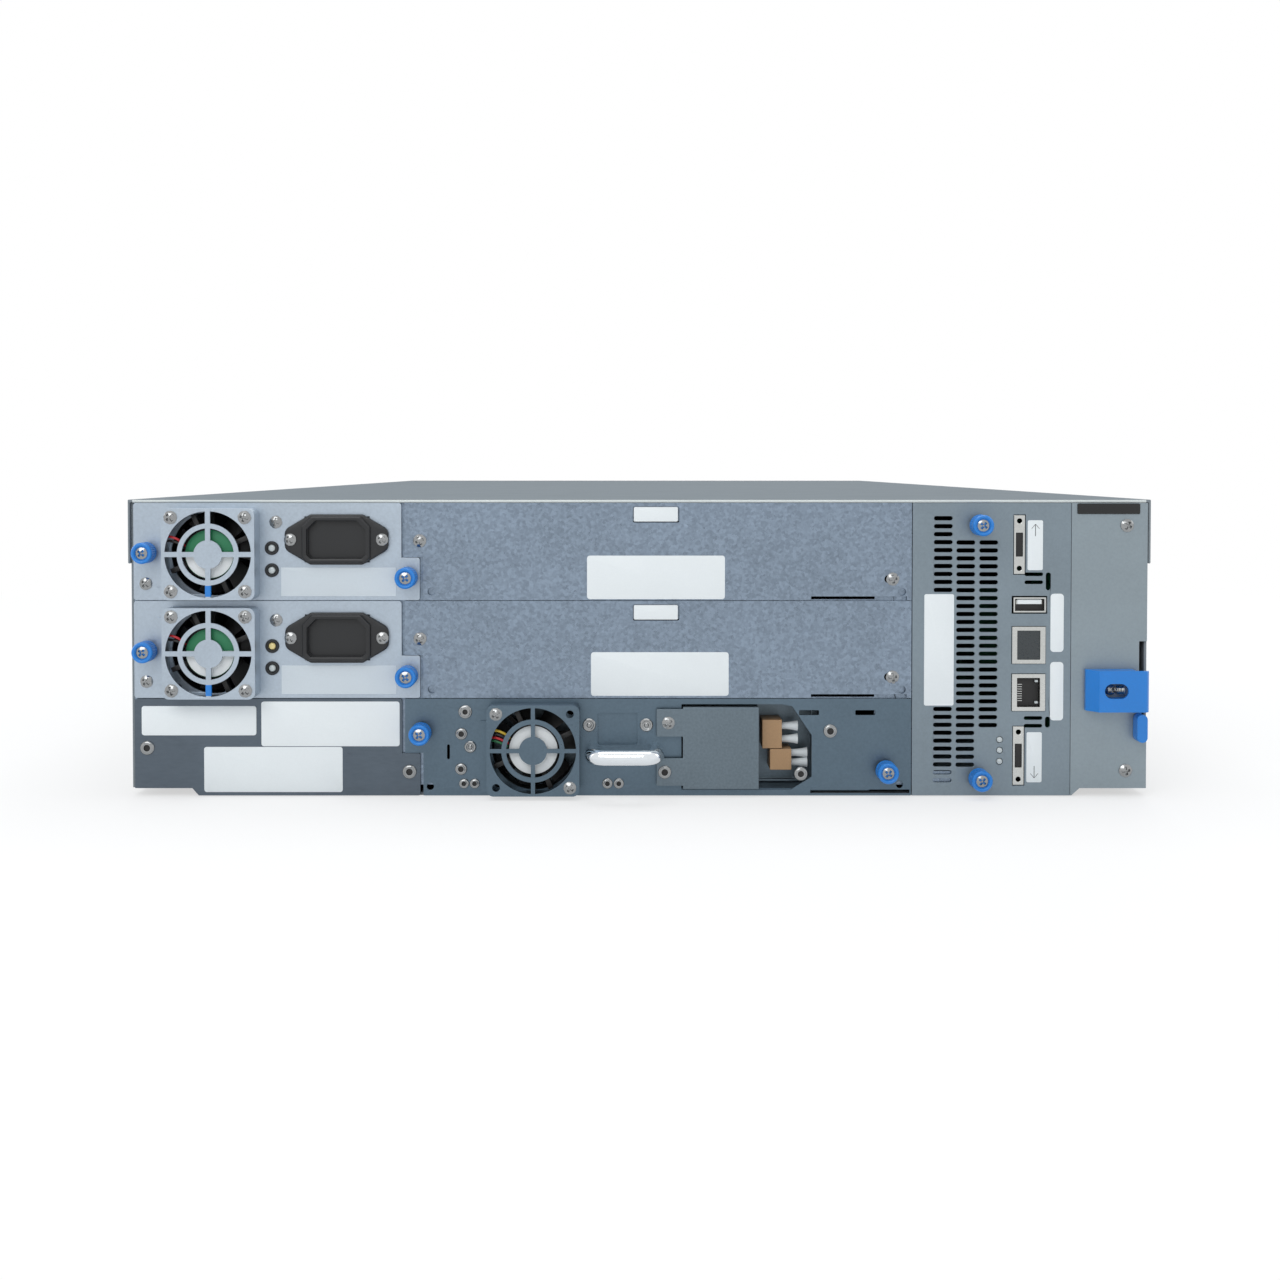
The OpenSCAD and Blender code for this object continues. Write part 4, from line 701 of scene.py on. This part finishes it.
# rotor: blade surface over radius and chord, whose pitch falls towards the tip, given a thickness
def fanRotor(name, cadNode, body):
    f = fanShape
    low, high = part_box(cadNode)
    cu, cv = (low.x + high.x) / 2, (low.z + high.z) / 2
    depth = (high.y - low.y) / mm
    hub = turned(0, 0,
                 [(0, -0.3), (f["hub"] - 1.2, -0.3), (f["hub"] - 0.8, -0.7), (f["hub"] - 0.8, -depth + 0.5),
                        (0, -depth + 0.5)], 48)
    parts = [(hub, 0)]
    radius = np.linspace(f["hub"] - 1.0, f["bladeOut"], 8)[:, None]
    chord = np.linspace(0, 1, 7)[None, :]
    for k in range(f["blades"]):
        a = 2 * np.pi * k / f["blades"] + 0.7 * chord * (1 - 0.25 * (radius - f["hub"]) / 7) - 0.2
        out = -0.9 - (depth - 2.2) * chord + 0.25 * np.sin(np.pi * chord)
        x, z = radius * np.cos(a), radius * np.sin(a)
        face = np.stack([x, z, out + 0 * x], -1)
        back = np.stack([x, z, out - 0.55 + 0 * x], -1)
        parts.append((np.concatenate([face, back[:, ::-1]], 1), 0))
    made = [(np.stack([cu + g[..., 0] * mm, low.y - g[..., 2] * mm, cv + g[..., 1] * mm], -1), w)
            for g, w in parts]
    makePiece(name, made, ["fanPlastic"], body, [cadNode])


# a coloured lead behind a guard, on a smooth path through a few points
def leads(name, node, body, routes):
    names = sorted({colour for colour, points in routes})
    parts = [(onPanel(node, tube(smoothPath(points), 0.55, 8)), names.index(colour))
             for colour, points in routes]
    makePiece(name, parts, names, body)


def powerSupply(n):
    node, body = rowNode[n], f"psu_{n}"
    s = psuSpots
    thumbscrew(f"psu{n}ThumbscrewLeft", node, f"psu_{n}_left_screw", *s["knob"])
    thumbscrew(f"psu{n}ThumbscrewRight", node, f"psu_{n}_right_screw", *s["foot"])
    psuScrews(n)
    psuLights(n, (1, 1) if n == 1 else (2, 1))
    powerInlet(n)
    fanStator(f"psu{n}FanHub", node, body, *s["fan"], 6.6, "stickerGreen")
    fanRotor(f"psu{n}FanRotor", f"psu_{n}_fan_rotor", f"psu_{n}_fan")
    u, v = s["fan"]
    leads(f"psu{n}FanLeads", node, body,
          [("leadRed", [(u - 19.5, v + 7.4, 5.5), (u - 17, v + 7.6, 6.4), (u - 13.5, v + 6.2, 6.3),
                        (u - 11, v + 3, 4)]),
           ("leadBlack", [(u - 19.5, v + 5.8, 5), (u - 16.5, v + 5.6, 6), (u - 13, v + 4.4, 6),
                          (u - 10, v + 1, 4)])])
    # touch mark: a thin blue sleeve round the guard's lower spoke
    mark = slab(u - 1.25, v - 18.3, u + 1.25, v - 13.5, 8.45, 9.6, 0.3, 0.12)
    makePiece(f"psu{n}TouchMark", [(onPanel(node, mark), 0)], ["touchBlue"], body)


# the part that each thumbscrew stands in for
knobNodes = {"psu1ThumbscrewLeft": "psu_1_knob_left", "psu1ThumbscrewRight": "psu_1_knob_right",
             "psu2ThumbscrewLeft": "psu_2_knob_left", "psu2ThumbscrewRight": "psu_2_knob_right",
             "sledThumbscrewLeft": "sled_knob_left", "sledThumbscrewRight": "sled_knob_right",
             "controllerThumbscrewTop": "controller_knob_top",
             "controllerThumbscrewBottom": "controller_knob_bottom"}
for n in (1, 2):
    powerSupply(n)
print("tape library: power supplies dressed")


# bare labels: part, left, foot, right, head, corner, finish, body
labelSheets = {
    "psu1RatingLabel": ("psu_1_case", 64.6, 1.7, 114.9, 14.3, 0.25, "labelFilm", "psu_1"),
    "psu2RatingLabel": ("psu_2_case", 64.6, 1.7, 114.9, 14.3, 0.25, "labelFilm", "psu_2"),
    "productLabelLeft": ("product_plate", 3.1, 26.5, 53.4, 39.4, 1.1, "labelPaper", "chassis"),
    "productLabelRight": ("product_plate", 55.6, 21.7, 116.3, 41.4, 1.1, "labelPaper", "chassis"),
    "productLabelLow": ("product_plate", 30.4, 1.5, 91.2, 21.4, 1.1, "labelPaper", "chassis"),
    "coverLabelTop": ("bay_cover_1", 79.9, 0.4, 140.3, 19.5, 1.2, "labelPaper", "chassis"),
    "coverLabelLow": ("bay_cover_2", 81.6, 0.9, 142.0, 20.1, 1.2, "labelPaper", "chassis"),
    "controllerLongLabel": ("controller_tray", 5.2, 39.6, 18.2, 88.6, 0.8, "labelPaper", "controller"),
    "moduleLabelTop": ("controller_tray", 50.3, 99.1, 57.0, 121.0, 0.7, "labelPaper", "controller"),
    "moduleLabelLow": ("controller_tray", 50.3, 5.8, 57.0, 27.9, 0.7, "labelPaper", "controller"),
    "serviceLabel": ("controller_tray", 60.5, 63.2, 66.3, 88.8, 1.5, "labelPaper", "controller"),
    "networkLabel": ("controller_tray", 60.5, 33.1, 66.3, 58.8, 1.5, "labelPaper", "controller"),
}
labelThick = 0.14
for name, (node, u0, v0, u1, v1, corner, wear, body) in labelSheets.items():
    sheet = slab(u0, v0, u1, v1, 0.01, labelThick, corner, 0.05)
    makePiece(name, [(onPanel(node, sheet), 0)], [wear], body)


# arrows beside the two module ports: a shaft and two barbs, printed on their labels; s is 1 up, -1 down
arrowShape = {"length": 5.2, "half": 0.14, "barb": 1.7, "drop": 1.9, "barbHalf": 0.12}


def arrowPrint(name, u, v, s):
    w = arrowShape
    low, high = labelThick - 0.02, labelThick + 0.03
    tip = v + s * w["length"]
    parts = [slab(u - w["half"], min(v, tip), u + w["half"], max(v, tip), low, high, 0.1, 0.02)]
    for side in (-1, 1):
        end = u + side * w["barb"]
        bar = [(u - 0.1, tip + s * 0.1), (u + 0.15, tip + s * 0.1),
               (end + w["barbHalf"], tip - s * w["drop"]),
               (end - w["barbHalf"], tip - s * w["drop"])]
        parts.append(stacked(bar[::-s], [(0, low, 0.03), (0, high, 0.03)], 2))
    makePiece(name, [(onPanel("controller_tray", g), 0) for g in parts], ["printInk"], "controller")


arrowPrint("moduleArrowTop", 53.7, 114.0, 1)
arrowPrint("moduleArrowLow", 53.7, 13.0, -1)
print("tape library: labels on")


# fixed screws and clinch nuts of the still panels
plateScrews = {"bay_cover_1": [(6.7, 26.0), (213.8, 9.2)], "bay_cover_2": [(6.7, 26.0), (213.8, 9.2)]}
latchScrews = [(24.2, 118.9), (24.2, 11.2)]
plateNuts = [(5.5, 21.0), (120.6, 10.5)]
parts = [(onPanel(node, panHead(u, v, 2.9, 0.05, 1.5, u)), 0)
         for node in plateScrews for u, v in plateScrews[node]]
parts += [(onPanel("latch_plate", panHead(u, v, 2.9, 0.05, 1.5, v), 0.0), 0) for u, v in latchScrews]
parts.append((onPanel("latch_plate", panHead(16.6, 47.1, 2.4, 2.2, 1.3, 0.8), 0.0), 0))
parts += [(onPanel("product_plate", clinchNut(u, v, 3.1, 1.3)), 0) for u, v in plateNuts]
# painted shade: dark plugs in the plate nuts' bores
parts += [(onPanel("product_plate", boreShade(u, v, 1.3)), 1) for u, v in plateNuts]
makePiece("panelScrews", parts, ["nickelPlate", "fanPlastic"], "chassis", ["plate_fasteners"])

# places on the sled's face: nuts by u, v, radius and bore, studs by u, v and radius
sledSet = {"fan": (56.7, 21.3), "knobs": [(7.4, 28.2), (210.7, 11.5)],
           "nuts": [(26.4, 36.9, 3.0, 1.0), (24.7, 27.2, 2.6, 1.1), (24.5, 11.7, 2.6, 1.1),
                    (25.8, 5.3, 2.2, 0.9),
                    (30.5, 5.3, 2.2, 0.9), (88.8, 5.3, 2.3, 0.9), (93.8, 5.3, 2.3, 0.9),
                    (186.6, 28.4, 3.0, 1.3),
                    (173.7, 9.6, 3.0, 1.2)],
           "studs": [(80.8, 31.1, 2.9), (105.9, 31.1, 2.9), (28.6, 21.5, 2.6)],
           "driveScrew": (115.5, 32.4), "driveNut": (113.9, 10.8), "driveOut": 2.55}
fanU, fanV = sledSet["fan"]
# painted shade: dark plugs in the sled nuts' bores
shades = [boreShade(u, v, bore) for u, v, r, bore in sledSet["nuts"]]
shades.append(boreShade(*sledSet["driveNut"], 1.3, sledSet["driveOut"]))
parts = [clinchNut(*nut) for nut in sledSet["nuts"]]
parts += [turned(u, v, [(0, 0.02), (r, 0.02), (r, 0.7), (r - 0.3, 1.0), (r - 0.9, 1.05), (r - 1.2, 0.85),
                        (1.1, 0.9), (0.7, 1.35), (0, 1.4)], 32) for u, v, r in sledSet["studs"]]
parts += [panHead(fanU + i * 16, fanV + j * 16, 2.8, 9.4, 1.4, i) for i, j in ((-1, 1), (1, -1))]
parts += [panHead(*sledSet["driveScrew"], 2.8, sledSet["driveOut"], 1.4, 0.6),
          clinchNut(*sledSet["driveNut"], 2.9, 1.3, sledSet["driveOut"])]
worn = [(onPanel("sled_tray", g), 0) for g in parts] + [(onPanel("sled_tray", g), 1) for g in shades]
makePiece("sledFasteners", worn, ["nickelPlate", "fanPlastic"], "sled", ["sled_fasteners"])
thumbscrew("sledThumbscrewLeft", "sled_tray", "sled_left_screw", *sledSet["knobs"][0])
thumbscrew("sledThumbscrewRight", "sled_tray", "sled_right_screw", *sledSet["knobs"][1])
controllerSet = {"knobU": 28.8, "knobTop": 119.2, "knobLow": 8.3, "lampU": 38.5, "lamps": (24.8, 20.1, 15.2)}
for end, v in (("Top", controllerSet["knobTop"]), ("Bottom", controllerSet["knobLow"])):
    thumbscrew(f"controllerThumbscrew{end}", "controller_tray", f"controller_{end.lower()}_screw",
               controllerSet["knobU"], v, 0.0)
fanStator("sledFanHub", "sled_tray", "sled", fanU, fanV, 6.6, "stickerWhite")
fanRotor("sledFanRotor", "sled_fan_rotor", "sled_fan")
leads("sledFanLeads", "sled_tray", "sled",
      [(colour, [(fanU - 19.3, fanV + 8 - 1.4 * i, 5), (fanU - 16, fanV + 8.4 - 1.6 * i, 6.3),
                 (fanU - 12, fanV + 6.6 - 1.6 * i, 6), (fanU - 9, fanV + 3 - i, 4)])
       for i, colour in enumerate(("leadYellow", "leadBlack", "leadRed", "leadGreen"))])

# bare black name plate on the latch column
namePlateShape = {"left": 2.4, "foot": 123.9, "right": 29.8, "head": 128.5, "low": 0.01, "high": 0.6}
plate = slab(*namePlateShape.values(), 0.5, 0.2)
makePiece("namePlateBlank", [(onPanel("latch_plate", plate, 0.0), 0)], ["namePlate"], "chassis")

# flared dust plugs: a turned trumpet along X, its radius growing with the square of the length
plugShape = {"tall": 7.4, "neck": 1.5, "mouth": 2.35, "out": -8.4,
             "ports": [(165.7, 20.2, 12.6), (169.9, 10.7, 9.2)]}


def dustPlug(u, v, out):
    t = np.linspace(0, 1, 9)
    radius = plugShape["neck"] + (plugShape["mouth"] - plugShape["neck"]) * t ** 2
    radius = np.concatenate([[0, 1.2, 1.2], radius, [plugShape["mouth"] - 0.35, plugShape["mouth"] - 0.7, 0]])
    along = np.concatenate([[-4, -4, 0], plugShape["tall"] * t, [plugShape["tall"], 5.6, 5.2]])
    a = np.linspace(0, 2 * np.pi, 28, endpoint=False)
    return np.stack([u + along[:, None] + 0 * a, v + radius[:, None] * np.cos(a),
                     out + radius[:, None] * np.sin(a)], -1)


plugs = [dustPlug(u, v + tall * k, plugShape["out"])
         for u, v, tall in plugShape["ports"] for k in (0.27, 0.73)]
makePiece("dustPlugs", [(onPanel("sled_tray", g), 0) for g in plugs], ["plugWhite"], "sled",
          ["dust_plugs"])

# domes of the controller's three lamps
domes = [turned(controllerSet["lampU"], v,
                [(0, -1), (1.25, -1), (1.25, 0.1), (1.0, 0.45), (0.5, 0.65), (0, 0.7)], 24)
         for v in controllerSet["lamps"]]
makePiece("controllerLamps", [(onPanel("controller_tray", g, 0.0), 0) for g in domes], ["lensClear"],
          "controller")

# return spring: a tube carried along a helix, radius * (cos a, sin a) while it moves along u
springShape = {"start": 19.3, "v": 47.1, "out": 2.3, "length": 3.3, "turns": 5, "coil": 1.7, "wire": 0.28}
a = np.linspace(0, 2 * np.pi * springShape["turns"], 20 * springShape["turns"])
helix = np.stack([springShape["start"] + springShape["length"] * a / a[-1],
                  springShape["v"] + springShape["coil"] * np.cos(a),
                  springShape["out"] + springShape["coil"] * np.sin(a)], -1)
wire = tube(helix, springShape["wire"], 8, (1, 0.02, 0.03))
makePiece("lockSpring", [(onPanel("latch_plate", wire, 0.0), 0)], ["springWire"], "chassis",
          ["latch_spring"])
print("tape library: covers, latch, sled and controller dressed")

# painted highlight: flat tabs in the windows of the two covers, white in the label paper, stand in for the
# light that a bent tab catches
tabHighlightShape = {"left": 100.4, "foot": 34.4, "right": 119.7, "head": 40.8, "low": -0.9, "high": -0.1}
for name, cover in (("coverTabHighlightTop", "bay_cover_1"), ("coverTabHighlightLow", "bay_cover_2")):
    tab = slab(*tabHighlightShape.values(), 0.6, 0.1)
    makePiece(name, [(onPanel(cover, tab), 0)], ["labelPaper"], "chassis")

# rolled hem along the top cover's rear edge: a straight tube, in a pale finish that paints the highlight on
# the bend
hemShape = {"half": 221.8, "z": 129.5, "in": 0.35, "r": 0.6}
across = np.linspace(-hemShape["half"], hemShape["half"], 60)
hem = tube(np.stack([across, 0 * across + hemShape["z"], 0 * across], -1), hemShape["r"], 12)
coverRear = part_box("top_cover")[0].y
hem = np.stack([hem[..., 0] * mm, coverRear + (hemShape["in"] - hem[..., 2]) * mm, hem[..., 1] * mm], -1)
makePiece("coverHemWithHighlight", [(hem, 0)], ["hemPaintedHighlight"], "chassis")

# insides of the controller's sockets: left, foot, right, head, low, high, corner, finish
socketBlocks = {
    "blankPlug": (45.6, 59.9, 56.4, 73.0, -1.5, 0.0, 0.4, 1),
    "jackFloor": (46.1, 39.4, 55.9, 51.9, -2.5, -1.6, 0.2, 0),
    "usbFloor": (44.9, 80.9, 57.7, 86.9, -2.2, -1.2, 0.2, 0),
    "usbTongue": (46.0, 84.4, 56.6, 86.4, -1.4, -0.3, 0.2, 3),
    "moduleSlotTop": (45.5, 105.4, 48.1, 115.6, -1.6, -0.3, 0.2, 0),
    "moduleSlotLow": (45.5, 12.6, 48.1, 22.8, -1.6, -0.3, 0.2, 0),
    "jackLampLow": (54.0, 40.6, 55.4, 41.6, -1.6, -0.5, 0.2, 4),
    "jackLampTop": (54.0, 50.0, 55.4, 51.0, -1.6, -0.5, 0.2, 4),
}
contactShape = {"count": 8, "u": 46.4, "lean": 0.01, "right": 48.6, "v": 41.6, "pitch": 1.02, "wide": 0.4}
sockets = [(slab(*block[:7]), block[7]) for block in socketBlocks.values()]
for k in range(contactShape["count"]):
    foot = contactShape["v"] + contactShape["pitch"] * k
    contact = slab(contactShape["u"] + contactShape["lean"] * k, foot, contactShape["right"],
                   foot + contactShape["wide"], -1.7, -1.3, 0.1)
    sockets.append((contact, 2))
makePiece("socketInsides", [(onPanel("controller_tray", g, 0.0), w) for g, w in sockets],
          ["fanPlastic", "blankPlug", "shellTin", "labelPaper", "lensClear"], "controller")
print("tape library: sockets filled in")

# welded and given a small bevel, so that folded and cut edges catch light; a few stay as they are
edgeWidth = {"front_bezel": 1.2, "top_cover": 0.4, "base_tray": 0.3, "left_magazine": 0.5,
             "right_magazine": 0.5,
             "mail_station": 0.5, "lock_block": 0.6, "tape_drive": 0.3}
plainEdges = ("latch_plate", "sled_handle")
for part in nodes:
    if nodes[part].hide_render or part in plainEdges:
        continue
    weld = nodes[part].modifiers.new("weld", "WELD")
    weld.merge_threshold = 0.01 * mm
    bevel = nodes[part].modifiers.new("easedEdge", "BEVEL")
    bevel.width = edgeWidth.get(part, 0.18) * mm
    bevel.segments = 2
    bevel.limit_method = "ANGLE"
    bevel.angle_limit = math.radians(40)
print("tape library: edges eased")
